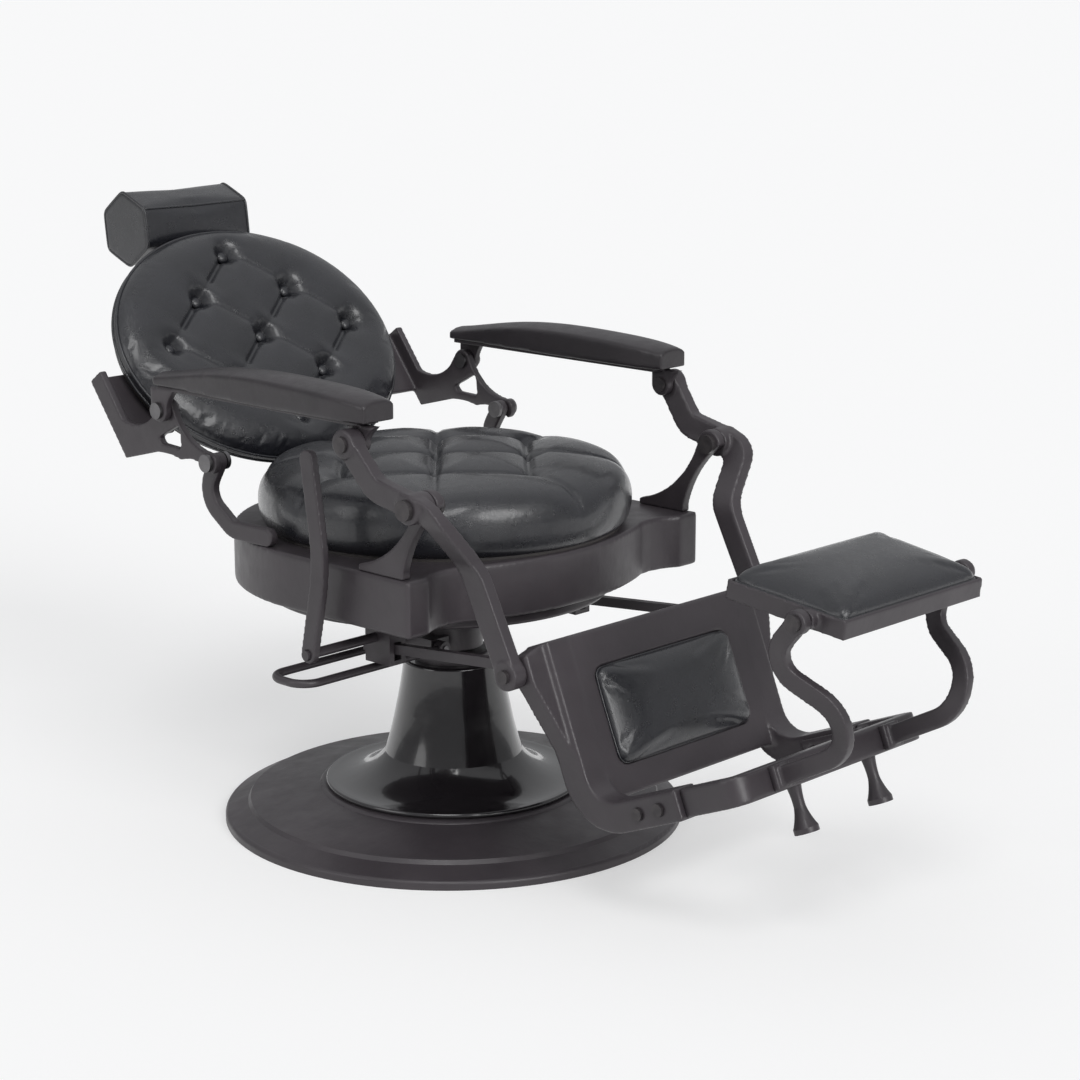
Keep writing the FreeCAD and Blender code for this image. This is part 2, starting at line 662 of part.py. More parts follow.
def lift():
    bore = "cylinder_radius - cylinder_wall"
    flange_top = "dish_top_height + flange_thick"
    body = lathe("cylinder", [
        ("0", "floor_plate_thick"), ("cylinder_radius", "floor_plate_thick"),
        ("cylinder_radius", "dish_top_height"), ("flange_radius", "dish_top_height"),
        ("flange_radius", flange_top), ("cylinder_radius", flange_top),
        ("cylinder_radius", "cylinder_top"), (bore, "cylinder_top"),
        (bore, "floor_plate_thick + cylinder_floor"), ("0", "floor_plate_thick + cylinder_floor")])
    sketch = new_sketch(body, "XY_Plane", flange_top)
    for x, y in ((1, 0), (0, 1), (-1, 0), (0, -1)):
        circle(sketch, "%d * flange_bolt_circle" % x, "%d * flange_bolt_circle" % y,
               "flange_bolt_radius + running_fit")
    pocket(body, sketch, "flange_thick")
    node(body, "pump_cylinder")
    bolts = []
    for number in range(4):
        bolt = lathe("flange_bolt%s" % "abcd"[number], [
            ("0", "dish_top_height"), ("flange_bolt_radius", "dish_top_height"),
            ("flange_bolt_radius", flange_top), ("flange_bolt_radius * 1.7", flange_top),
            ("flange_bolt_radius * 1.7", flange_top + " + flange_bolt_radius"),
            ("0", flange_top + " + flange_bolt_radius")])
        quarter = math.pi / 2 * number
        place(bolt, "%d * flange_bolt_circle" % round(math.cos(quarter)),
              "%d * flange_bolt_circle" % round(math.sin(quarter)))
        bolts.append(bolt)
    node(group("flange_bolt_group", bolts), "flange_bolts")
    node(lathe("gland", [
        ("ram_radius + running_fit", "cylinder_top"), ("gland_radius", "cylinder_top"),
        ("gland_radius", "cylinder_top + gland_height - 3"),
        ("gland_radius - 3", "cylinder_top + gland_height", "4"),
        ("ram_radius + running_fit", "cylinder_top + gland_height")]), "gland_collar")
    ram_top = "ring_bottom - pan_depth - head_roof"
    node(lathe("ram", [
        ("0", "ram_bottom"), ("ram_radius - 6", "ram_bottom"),
        ("ram_radius - 6", "ram_bottom + seal_height"), ("ram_radius", "ram_bottom + seal_height"),
        ("ram_radius", ram_top), ("0", ram_top)]), "lift_ram")
    node(lathe("seal", [
        ("ram_radius - 6", "ram_bottom"), (bore + " - running_fit", "ram_bottom"),
        (bore + " - running_fit", "ram_bottom + seal_height"),
        ("ram_radius - 6", "ram_bottom + seal_height")]), "piston_seal")


# Seat

def swivel_head():
    top = "ring_bottom - pan_depth"
    inner = "ram_radius + running_fit"
    turned = lathe("head", [
        (inner, "head_bottom"), ("head_radius", "head_bottom"),
        ("head_radius", top + " - head_flange_thick"),
        ("head_flange_radius", top + " - head_flange_thick"), ("head_flange_radius", top),
        ("0", top), ("0", top + " - head_roof + free_gap"), (inner, top + " - head_roof + free_gap")])
    pump_lug = block("pump_lug", ("-pump_pivot_x - 12", "-ram_radius - 4"),
                     ("-pump_half_width + pump_rod_radius + 4", "pump_half_width - pump_rod_radius - 4"),
                     ("head_bottom", "pump_pivot_z + 12"))
    hole = rod("pump_lug_hole", "pump_pin_radius + running_fit", "pump_half_width * 2")
    place(hole, "-pump_pivot_x", "pump_half_width", "pump_pivot_z", (1, 0, 0), "90")
    ram_hole = rod("ram_hole", inner, "60")
    place(ram_hole, "0", "0", "head_bottom")
    node(cut("head_cut", fuse("head_fuse", [turned, pump_lug]), [hole, ram_hole]), "swivel_head")


def pump_lever():
    body = new_body("pump_loop")
    end = "-pump_pivot_x"
    root = "-pump_pivot_x - pump_rod_radius"
    sketch = new_sketch(body, "XY_Plane")
    far = "-pump_reach + pump_rod_radius"
    points = plane_points([(root, "-pump_half_width"), (far, "-pump_half_width"),
                           (far, "pump_half_width"), (root, "pump_half_width")])
    bends = [value("pump_bend")] * 2
    for edge in bent_path(points, bends):
        sketch.addGeometry(edge)
    section = new_sketch(body, "YZ_Plane", root)
    circle(section, "-pump_half_width", "0", "pump_rod_radius")
    pipe = body.newObject("PartDesign::AdditivePipe", "pump_loop_pipe")
    pipe.Profile = section
    pipe.Spine = (sketch, [])
    place(body, "0", "0", "pump_pivot_z")
    eyes, holes = [], []
    for side, word in ((-1, "front"), (1, "rear")):
        eye = rod("pump_eye_" + word, "pump_rod_radius * 1.8", "pump_rod_radius * 2.4")
        eyes.append(place(eye, end, "%d * pump_half_width + pump_rod_radius * 1.2" % side,
                          "pump_pivot_z", (1, 0, 0), "90"))
        hole = rod("pump_eye_hole_" + word, "pump_pin_radius + running_fit", "pump_rod_radius * 6")
        holes.append(place(hole, end, "%d * pump_half_width + pump_rod_radius * 3" % side,
                           "pump_pivot_z", (1, 0, 0), "90"))
    node(cut("pump_cut", fuse("pump_fuse", [body] + eyes), holes), "pump_lever")
    pin = rod("pump_pin_rod", "pump_pin_radius", "pump_half_width * 2 + pump_rod_radius * 3")
    place(pin, end, "pump_half_width + pump_rod_radius * 1.5", "pump_pivot_z", (1, 0, 0), "90")
    node(pin, "pump_lever_pin")


def carrier_pan():
    low = "ring_bottom - pan_depth"
    pan = lathe("pan", [
        ("0", low), ("pan_radius - 6", low), ("pan_radius", low + " + 6", "6"),
        ("pan_radius", "ring_bottom"), ("pan_radius - pan_wall", "ring_bottom"),
        ("pan_radius - pan_wall", low + " + pan_wall"), ("0", low + " + pan_wall")])
    node(place(pan, "0", "ring_centre", "0"), "carrier_pan")


def ring_outline(sketch, inset):
    """The plan of the seat ring: round at the rear, two ears and a bowed front."""
    side, centre = "ring_radius - (%s)" % inset, "ring_centre"
    ear, root = "-ear_front + (%s)" % inset, "-bow_root + (%s)" % inset
    ear_inner = "ring_radius - ear_width"
    bow = "bow_radius - (%s)" % inset
    return outline(sketch, [
        ("-(%s)" % side, centre, side), ("-(%s)" % side, ear), ("-(%s)" % ear_inner, ear),
        ("-bow_half_width", root, "-ear_hollow"), ("bow_half_width", root, bow),
        (ear_inner, ear, "-ear_hollow"), (side, ear), (side, centre),
        ("0", "ring_centre + (%s)" % side, side)])


def seat():
    body = new_body("ring")
    pad(body, ring_outline(new_sketch(body, "XY_Plane", "ring_bottom"), "0"), "ring_height")
    hollow = ring_outline(new_sketch(body, "XY_Plane", "ring_bottom + ring_height / 2"), "ring_wall")
    pocket(body, hollow, "ring_height - 2 * ring_flange", both_ways=True)
    opening = circle(new_sketch(body, "XY_Plane", "ring_bottom + ring_height"),
                     "0", "ring_centre", "ring_opening")
    pocket(body, opening, "ring_height")
    round_edges(body, "4", lambda e: abs(e.BoundBox.ZMin - value("ring_bottom + ring_height")) < 0.01
                and e.Length > 40 and e.BoundBox.YMax < value("ring_centre") + 1
                and e.BoundBox.YMin < -100 and not isinstance(e.Curve, Part.Line))
    node(body, "seat_ring")
    top = "ring_bottom + ring_height"
    board = place(rod("board", "board_radius", "board_thick"), "0", "cushion_centre", top)
    node(board, "seat_board")
    low, high = top + " + free_gap", top + " + cushion_height"
    edge = high + " - cushion_crown"
    over_board, skirt = top + " + board_thick + free_gap", "board_radius + free_gap"
    cushion = lathe("seat_soft", [
        ("0", over_board), (skirt, over_board), (skirt, low), ("cushion_radius - 14", low),
        ("cushion_radius", low + " + 40", "44"), ("cushion_radius - 34", edge, "60"),
        ("0", high, "((cushion_radius - 34)^2 + cushion_crown^2) / (2 * cushion_crown)")])
    node(place(cushion, "0", "cushion_centre", "0"), "seat_cushion")


def lever_brackets():
    body = new_body("lever_bracket")
    top = "ring_bottom + ring_height"
    sketch = new_sketch(body, "YZ_Plane", "bracket_inner")
    outline(sketch, [
        ("-bracket_foot_front", top), ("-bracket_foot_rear", top),
        ("-bracket_foot_rear - 2", top + " + 10"),
        ("lever_pivot_y + bracket_boss", "lever_pivot_z", "-150"),
        ("lever_pivot_y", "lever_pivot_z + bracket_boss", "bracket_boss"),
        ("lever_pivot_y - bracket_boss", "lever_pivot_z", "bracket_boss"),
        ("-bracket_foot_front", top + " + 10", "-170")])
    pad(body, sketch, "bracket_thick")
    hole = circle(new_sketch(body, "YZ_Plane", "bracket_inner"), "lever_pivot_y", "lever_pivot_z",
                  "hinge_pin_radius + running_fit")
    pocket(body, hole, "bracket_thick", reverse=True)
    left_and_right(body, "lever_bracket")
    outer = "lever_x + lever_thick / 2 + pivot_boss_proud + free_gap"
    bolt = headed_pin("lever_bolt", "hinge_pin_radius", ("bracket_inner", outer),
                      "lever_bolt_head", "lever_bolt_cap", "lever_pivot_y", "lever_pivot_z")
    pair(bolt, "lever_pivot_bolts")


def back_straps():
    body = new_body("strap")
    sketch = new_sketch(body, "YZ_Plane", "strap_inner")
    foot = "ring_bottom + ring_height + strap_width / 2"
    points = plane_points([("strap_foot_y", foot), ("strap_bow_y - strap_run", foot),
                           ("strap_bow_y", "strap_bow_z + strap_run / 2"), ("hinge_y", "hinge_z")])
    ribbon(sketch, points, [value("strap_bend")] * 2, value("strap_width"))
    pad(body, sketch, "strap_thick")
    hole = circle(new_sketch(body, "YZ_Plane", "strap_inner"), "hinge_y", "hinge_z",
                  "hinge_pin_radius + running_fit")
    pocket(body, hole, "strap_thick", reverse=True)
    left_and_right(body, "back_strap")
    outer = "back_plate_inner + back_plate_thick + free_gap"
    pair(headed_pin("back_pin", "hinge_pin_radius", ("strap_inner", outer),
                    "hinge_pin_head", "hinge_pin_cap", "hinge_y", "hinge_z"), "back_pivot_pins")


# Back and headrest

def ellipse(name, inset, level):
    """The outline of the back, drawn in by inset, at a level behind its reference plane."""
    curve = doc.addObject("Part::Ellipse", name + "_ellipse")
    bind(curve, "MajorRadius", "back_half_width - (%s)" % inset)
    bind(curve, "MinorRadius", "back_half_height - (%s)" % inset)
    return place(curve, "0", level, "back_rise", (1, 0, 0), "90")


def oval(name, inset, front, depth):
    """An oval slab of the back, from front backwards."""
    slab = doc.addObject("Part::Extrusion", name + "_slab")
    slab.Base = ellipse(name, inset, front)
    slab.DirMode = "Custom"
    slab.Dir = Vector(0, 1, 0)
    bind(slab, "LengthFwd", depth)
    slab.Solid = True
    return slab


def tapered_oval(name, inset, front, depth):
    """An oval slab of the back that narrows towards the rear."""
    slab = doc.addObject("Part::Loft", name + "_slab")
    slab.Sections = [ellipse(name + "_front", inset, front),
                     ellipse(name + "_rear", "%s + (%s) * tan(shell_taper)" % (inset, depth),
                             "(%s) + (%s)" % (front, depth))]
    slab.Solid = True
    slab.Ruled = True
    return slab


def back():
    cushion_front = "-back_board_thick + 4 - back_cushion_thick"
    board_front = "-back_board_thick + 4"
    shell_front = "4"
    cushion = oval("back_soft", "0", cushion_front, "back_cushion_thick - free_gap")
    doc.recompute()
    rounded = doc.addObject("Part::Fillet", "back_soft_round")
    rounded.Base = cushion
    front_edges = [i + 1 for i, e in enumerate(cushion.Shape.Edges)
                   if e.BoundBox.YMax < value(cushion_front) + 1]
    radius = value("back_cushion_round")
    rounded.Edges = [(i, radius, radius) for i in front_edges]
    node(place_on_back(rounded), "back_cushion")
    holes = []
    for row in (0, 1):
        for x in ("tab_inner + tab_bolt_inset", "-(tab_inner + tab_bolt_inset)"):
            hole = rod("board_hole", "tab_bolt_radius + running_fit", "back_board_thick * 2")
            holes.append(place(hole, x, board_front + " - 5", bolt_level(row), (1, 0, 0), "-90"))
    board = cut("back_board_cut", oval("back_wood", "board_inset", board_front, "back_board_thick"), holes)
    node(place_on_back(board), "back_board")
    outer = tapered_oval("shell_outer", "shell_inset", shell_front, "shell_depth")
    inner = tapered_oval("shell_inner", "shell_inset + shell_wall", shell_front, "shell_depth - shell_wall")
    node(place_on_back(cut("shell_cut", outer, [inner])), "back_shell")


def bolt_level(row):
    """Height of one of the two bolts of a rear tab, along the back."""
    return "tab_low + (tab_high - tab_low) * %s" % (0.25 if row == 0 else 0.75)


def fuse_one(name, thing):
    """A one-piece group, so that the piece can be placed as a whole."""
    return group(name, [thing])


def back_brackets():
    hinge = along_back("hinge_y", "hinge_z")
    arm = along_back("arm_rear_y", "arm_rear_z")
    rear = "4 + free_gap"
    body = new_body("back_bracket")
    sketch = new_sketch(body, "YZ_Plane", "back_plate_inner")
    boss = "back_plate_boss"
    bar_front = "%s - back_bar_width" % rear
    outline(sketch, [
        ("%s + tab_thick" % rear, "tab_low - 26"), ("%s + tab_thick" % rear, "tab_high"),
        (bar_front, "tab_high"), (bar_front, "tab_low + 24"),
        ("%s + 30" % arm[0], "%s + 8" % arm[1], "-70"),
        ("%s + %s * 0.5" % (arm[0], boss), "%s + %s * 0.86" % (arm[1], boss)),
        ("%s - %s" % (arm[0], boss), arm[1], boss),
        ("%s - %s" % (hinge[0], boss), "%s + 4" % hinge[1], "-90"),
        ("%s + 2" % hinge[0], "%s - %s" % (hinge[1], boss), boss + " * 1.05"),
        ("%s + 52" % hinge[0], "%s + 34" % hinge[1], "-80"),
        ("%s - 60" % rear, "tab_low - 54", "-140")])
    pad(body, sketch, "back_plate_thick")
    window = new_sketch(body, "YZ_Plane", "back_plate_inner")
    outline(window, [
        ("%s + 40" % arm[0], "%s - 24" % arm[1]), ("%s - 4" % arm[0], "%s - 31" % arm[1]),
        ("%s - 10" % arm[0], "%s - 37" % arm[1], "8"),
        ("%s + 2" % arm[0], "%s - 58" % arm[1]), ("%s + 10" % arm[0], "%s - 60" % arm[1], "8"),
        ("%s + 40" % arm[0], "%s - 34" % arm[1])])
    pocket(body, window, "back_plate_thick", reverse=True)
    holes = new_sketch(body, "YZ_Plane", "back_plate_inner")
    circle(holes, hinge[0], hinge[1], "hinge_pin_radius + running_fit")
    circle(holes, arm[0], arm[1], "pin_radius + running_fit")
    pocket(body, holes, "back_plate_thick", reverse=True)
    tab = new_sketch(body, "XZ_Plane", "-(%s)" % rear)
    outline(tab, box_corners("tab_inner", "back_plate_inner", "tab_low", "tab_high"))
    for row in (0, 1):
        circle(tab, "tab_inner + tab_bolt_inset", bolt_level(row), "tab_bolt_radius + running_fit")
    pad(body, tab, "tab_thick", reverse=True)
    place_on_back(body)
    left_and_right(body, "back_bracket")
    bolts = []
    for row in (0, 1):
        bolt = lathe("tab_bolt", [
            ("0", "0"), ("tab_bolt_radius", "0"), ("tab_bolt_radius", "tab_thick + 8"),
            ("tab_bolt_radius * 1.7", "tab_thick + 8"),
            ("tab_bolt_radius * 1.7", "tab_thick + 12"), ("tab_bolt_radius", "tab_thick + 14"),
            ("0", "tab_thick + 14")])
        place(bolt, "tab_inner + tab_bolt_inset", "%s - 8" % rear, bolt_level(row), (1, 0, 0), "-90")
        bolts.append(bolt)
    pair(place_on_back(group("tab_bolt_group", bolts)), "bracket_bolts")
    outer = "back_plate_inner + back_plate_thick + free_gap * 2 + lug_thick"
    pair(headed_pin("arm_pin", "pin_radius", ("back_plate_inner", outer),
                    "arm_pin_head", "arm_pin_cap", "arm_rear_y", "arm_rear_z"), "arm_pivot_pins")


def headrest():
    shell_rear = "4 + shell_depth"
    front = shell_rear + " + post_offset"
    pin_y = front + " + post_thick / 2"
    half = "post_width / 2"
    outer = block("socket_outer", ("-%s - socket_wall" % half, "%s + socket_wall" % half),
                  (shell_rear, front + " + post_thick + socket_wall"), ("socket_low", "socket_high"))
    slot = block("socket_slot", ("-%s - running_fit" % half, "%s + running_fit" % half),
                 (front + " - running_fit", front + " + post_thick + running_fit"),
                 ("socket_low - 5", "socket_high + 5"))
    node(place_on_back(cut("socket_cut", outer, [slot])), "headrest_socket")
    bar = block("post_bar", ("-" + half, half), (front, front + " + post_thick"),
                ("post_bottom", "roll_along"))
    eye = rod_along_x("post_eye", "post_thick / 2 + 6", "-" + half, half, pin_y, "roll_along")
    pin_hole = rod_along_x("post_hole", "roll_pin_radius + running_fit", "-%s - 5" % half,
                           "%s + 5" % half, pin_y, "roll_along")
    node(place_on_back(cut("post_cut", fuse("post_fuse", [bar, eye]), [pin_hole])), "headrest_post")
    pin_end = "%s + free_gap + yoke_wall" % half
    pin = rod_along_x("roll_pin", "roll_pin_radius", "-(%s)" % pin_end, pin_end, pin_y, "roll_along")
    node(place_on_back(fuse_one("roll_pin_placed", pin)), "headrest_pin")
    cheek = "%s + free_gap" % half
    yoke_front = pin_y + " - notch_front + free_gap"
    yoke_top = "roll_along + notch_top - free_gap"
    yoke_low = "roll_along - 16"
    solid = block("yoke_solid", ("-(%s) - yoke_wall" % cheek, "%s + yoke_wall" % cheek),
                  (yoke_front, pin_y + " + 16"), (yoke_low, yoke_top))
    room = block("yoke_room", ("-(%s)" % cheek, cheek), (yoke_front + " + yoke_wall", pin_y + " + 20"),
                 (yoke_low + " - 5", yoke_top + " - 4"))
    yoke_hole = rod_along_x("yoke_hole", "roll_pin_radius + running_fit", "-60", "60", pin_y, "roll_along")
    node(place_on_back(cut("yoke_cut", solid, [room, yoke_hole])), "headrest_yoke")
    body = new_body("roll")
    sketch = new_sketch(body, "YZ_Plane")
    side = "roll_half * tan(30)"
    outline(sketch, [
        ("roll_behind + %s" % side, "roll_along - roll_half"),
        ("roll_behind + 2 * %s" % side, "roll_along"),
        ("roll_behind + %s" % side, "roll_along + roll_half"),
        ("roll_behind - %s" % side, "roll_along + roll_half"),
        ("roll_behind - 2 * %s" % side, "roll_along"),
        ("roll_behind - %s" % side, "roll_along - roll_half")])
    pad(body, sketch, "roll_length", both_ways=True)
    round_edges(body, "roll_round", lambda e: e.Length > value("roll_length") - 1)
    notch = new_sketch(body, "YZ_Plane")
    outline(notch, box_corners(pin_y + " - notch_front", "roll_behind + 3 * %s" % side,
                               "roll_along - roll_half - 10", "roll_along + notch_top"))
    pocket(body, notch, "2 * (%s + yoke_wall + free_gap)" % cheek, both_ways=True)
    node(place_on_back(body), "headrest_cushion")


# Armrests

def armrests():
    """Pads lofted through sections that rise and widen towards the middle."""
    body = new_body("arm_pad")
    sections = []
    for y, half, top in (
            ("arm_front_end", "arm_half_width * 0.85", "arm_nose_top"),
            ("arm_front_end * 0.8", "arm_half_width", "arm_nose_top * 0.6 + arm_top * 0.4"),
            ("0", "arm_half_width * 1.06", "arm_top - 1"),
            ("arm_rear_end * 0.35", "arm_half_width", "arm_top - 2"),
            ("arm_rear_end * 0.7", "arm_half_width * 0.3 + arm_tail_half_width * 0.7",
             "arm_tail_top * 0.5 + arm_top * 0.5"),
            ("arm_rear_end", "arm_tail_half_width", "arm_tail_top")):
        left, right = "arm_x - (%s)" % half, "arm_x + %s" % half
        side = "%s - arm_crown" % top
        sketch = new_sketch(body, "XZ_Plane", "-(%s)" % y)
        outline(sketch, [
            (left, "arm_underside"), (right, "arm_underside"), (right, side),
            (left, side, "((%s)^2 + arm_crown^2) / (2 * arm_crown)" % half)])
        sections.append(sketch)
    loft = body.newObject("PartDesign::AdditiveLoft", "arm_loft")
    loft.Profile = sections[0]
    loft.Sections = sections[1:]
    left_and_right(body, "armrest")


def arm_rails():
    top = "arm_underside"
    low = "arm_underside - rail_thick"
    rail = block("rail_bar", ("arm_x - rail_half_width", "arm_x + rail_half_width"),
                 ("arm_front_end + 22", "arm_rear_end - 6"), (low, top))
    rear_inner = "back_plate_inner + back_plate_thick + free_gap"
    rear = lug("rear_lug", rear_inner, "arm_rear_y", "arm_rear_z", low)
    front_outer = lever_top_x() + " - lever_thick / 2 - lever_boss_proud - free_gap * 2"
    front = lug("front_lug", "%s - lug_thick" % front_outer, "arm_front_y", "arm_front_z", low)
    rear_hole = rod_along_x("rear_lug_hole", "pin_radius + running_fit", "arm_x - 40", "arm_x + 60",
                            "arm_rear_y", "arm_rear_z")
    front_hole = rod_along_x("front_lug_hole", "pin_radius + pivot_play", "arm_x - 60", "arm_x + 60",
                             "arm_front_y", "arm_front_z")
    joined = fuse("rail_fuse", [rail, rear, front])
    left_and_right(cut("rail_cut", joined, [rear_hole, front_hole]), "arm_rail")


def lever_top_x():
    """Distance of a side lever's upper end from the middle."""
    return "lever_x + tan(lever_lean) * (arm_front_z - lever_crank_high)"


def lug(name, x, y, z, top):
    """A hanging lug with a round end about (y, z), which widens towards the rail."""
    body = new_body(name)
    sketch = new_sketch(body, "YZ_Plane", x)
    outline(sketch, [
        ("%s - lug_radius" % y, z), (y, "%s - lug_radius" % z, "lug_radius"),
        ("%s + lug_radius" % y, z, "lug_radius"),
        ("%s + lug_radius" % y, top + " + 2"), ("%s - lug_radius - lug_flare" % y, top + " + 2"),
        ("%s - lug_radius" % y, z + " + 4", "-50")])
    pad(body, sketch, "lug_thick")
    return body


# Side levers and legrest

def side_levers():
    profile = new_body("lever_profile")
    sketch = new_sketch(profile, "YZ_Plane", "lever_x")
    spots = [("arm_front_y", "arm_front_z"), ("lever_neck_y", "lever_neck_z"),
             ("lever_shoulder_y", "lever_shoulder_z"), ("lever_knee_y", "lever_knee_z"),
             ("lever_foot_y", "lever_foot_z")]
    bend = value("lever_bend")
    ribbon(sketch, plane_points(spots), [bend] * 3, value("lever_width"))
    pad(profile, sketch, "4 * (lever_x - lever_foot_x)", both_ways=True)
    crank = new_body("lever_crank")
    sketch = new_sketch(crank, "XZ_Plane", "-lever_pivot_y")
    over_top = "arm_front_z + 2 * lever_width"
    spots = [("lever_x + tan(lever_lean) * (%s - lever_crank_high)" % over_top, over_top),
             ("lever_x", "lever_crank_high"),
             ("lever_foot_x", "lever_crank_low"), ("lever_foot_x", "lever_foot_z - 2 * lever_width")]
    ribbon(sketch, plane_points(spots), [value("lever_crank_bend")] * 2, value("lever_thick"),
           flat_start=True, flat_end=True)
    pad(crank, sketch, "4 * (lever_pivot_y - lever_foot_y)", both_ways=True)
    body = doc.addObject("Part::MultiCommon", "lever")
    body.Shapes = [profile, crank]
    inner = "bracket_inner + bracket_thick + free_gap"
    outer = "lever_x + lever_thick / 2 + pivot_boss_proud"
    boss = rod_along_x("lever_boss", "bracket_boss", inner, outer, "lever_pivot_y", "lever_pivot_z")
    top_inner = lever_top_x() + " - lever_thick / 2 - lever_boss_proud"
    top_outer = lever_top_x() + " + lever_thick / 2 + lever_boss_proud"
    top_boss = rod_along_x("lever_top_boss", "lever_boss", top_inner, top_outer,
                           "arm_front_y", "arm_front_z")
    face = lever_foot_face()
    foot_boss = rod_along_x("lever_foot_boss", "lever_boss", face, "%s + lever_thick + 4" % face,
                            "lever_foot_y", "lever_foot_z")
    foot_hole = rod_along_x("lever_foot_hole", "foot_bolt_radius + running_fit", face + " - 10",
                            "%s + lever_thick + 14" % face, "lever_foot_y", "lever_foot_z")
    pivot = rod_along_x("lever_hole", "hinge_pin_radius + running_fit", "lever_x - 60", "lever_x + 60",
                        "lever_pivot_y", "lever_pivot_z")
    top_hole = rod_along_x("lever_top_hole", "pin_radius + running_fit", "lever_x - 60", "lever_x + 60",
                           "arm_front_y", "arm_front_z")
    joined = fuse("lever_fuse", [body, boss, top_boss, foot_boss])
    lever = cut("lever_cut", joined, [pivot, top_hole, foot_hole])
    left_and_right(lever, "side_lever")
    bolt_head = "%s + lever_thick + 4" % face
    pair(fuse("lever_foot_bolt", [
        rod_along_x("lever_foot_shank", "foot_bolt_radius", face + " - 22", bolt_head,
                    "lever_foot_y", "lever_foot_z"),
        rod_along_x("lever_foot_head", "foot_bolt_radius * 1.8", bolt_head, bolt_head + " + lever_foot_cap",
                    "lever_foot_y", "lever_foot_z")]), "lever_foot_bolts")
    pin_inner = top_inner + " - lug_thick - free_gap * 4"
    pair(headed_pin("top_pin", "pin_radius", (pin_inner, top_outer),
                    "top_pin_head", "top_pin_cap", "arm_front_y", "arm_front_z"), "lever_top_pins")


def rounded_box(half_width, low, high, corner):
    """Corners of an upright rectangle with rounded corners."""
    inner = "(%s) - %s" % (half_width, corner)
    bottom, top = "%s + %s" % (low, corner), "%s - %s" % (high, corner)
    return [
        ("-(%s)" % inner, low, corner), (inner, low), (half_width, bottom, corner),
        (half_width, top), (inner, high, corner), ("-(%s)" % inner, high),
        ("-(%s)" % half_width, top, corner), ("-(%s)" % half_width, bottom)]


def foot_bolt_spots():
    """Where the foot frame's bolts are along the rail."""
    return ["seam + 34", "seam + 72"]


def both_sides(name, make):
    """The piece that make(name, sign) gives, on each side."""
    return [make(name + "_left", 1), make(name + "_right", -1)]


def cross_rod(name, sign, radius, inner, outer, y, z):
    """A round bar along X on one side of the chair."""
    if sign > 0:
        return rod_along_x(name, radius, inner, outer, y, z)
    return rod_along_x(name, radius, "-(%s)" % outer, "-(%s)" % inner, y, z)


def cross_block(name, sign, x, y, z):
    """A box on one side of the chair."""
    if sign > 0:
        return block(name, x, y, z)
    return block(name, ("-(%s)" % x[1], "-(%s)" % x[0]), y, z)


def along_legrest(y, z):
    """Floor-frame expressions (y, z) as expressions in the frame of the legrest."""
    dy, dz = "((%s) - legrest_y)" % y, "((%s) - legrest_z)" % z
    return ("%s * cos(legrest_tilt) - %s * sin(legrest_tilt)" % (dy, dz),
            "%s * sin(legrest_tilt) + %s * cos(legrest_tilt)" % (dy, dz))


def lever_foot_face():
    """Distance of a side lever's inner foot face from the middle."""
    return "lever_foot_x - lever_thick / 2 - 2"


def legrest_rail(name, sign):
    """A rail that runs down beside the panel and bends forward to the foot frame."""
    body = new_body(name)
    start = "panel_half_width" if sign > 0 else "-panel_half_width - rail_width"
    path = plane_points([("rail_middle", "panel_top"), ("rail_middle", "foot_level"),
                         ("seam", "foot_level")])
    sketch = ribbon(new_sketch(body, "YZ_Plane", start), path, [value("rail_bend")],
                    value("rail_depth"), flat_start=True, flat_end=True)
    pad(body, sketch, "rail_width")
    return body


def legrest_stub(name, sign):
    foot = along_legrest("lever_foot_y", "lever_foot_z")
    inner = "panel_half_width + rail_width - 2"
    return cross_rod(name, sign, "stub_radius", inner, lever_foot_face(), *foot)


def legrest_wing(name, sign):
    """A web that widens the upper rail towards the side lever's foot."""
    body = new_body(name)
    foot = along_legrest("lever_foot_y", "lever_foot_z")
    side = "panel_half_width + rail_width - 2"
    corners = [(side, "wing_low"), (lever_foot_face(), "%s - stub_radius" % foot[1]),
               (lever_foot_face(), "%s + stub_radius" % foot[1]), (side, "panel_top")]
    if sign < 0:
        corners = [("-(%s)" % x, z) for x, z in corners]
    sketch = new_sketch(body, "XZ_Plane", "-wing_front")
    outline(sketch, corners)
    pad(body, sketch, "wing_thick", reverse=True)
    return body


def lock_cheek_x():
    """The two cheeks beside a lock bar, as distances from the middle."""
    inner, outer = "lock_x - lock_width / 2 - free_gap * 2", "lock_x + lock_width / 2 + free_gap * 2"
    return [(inner + " - 8", inner), (outer, outer + " + 8")]


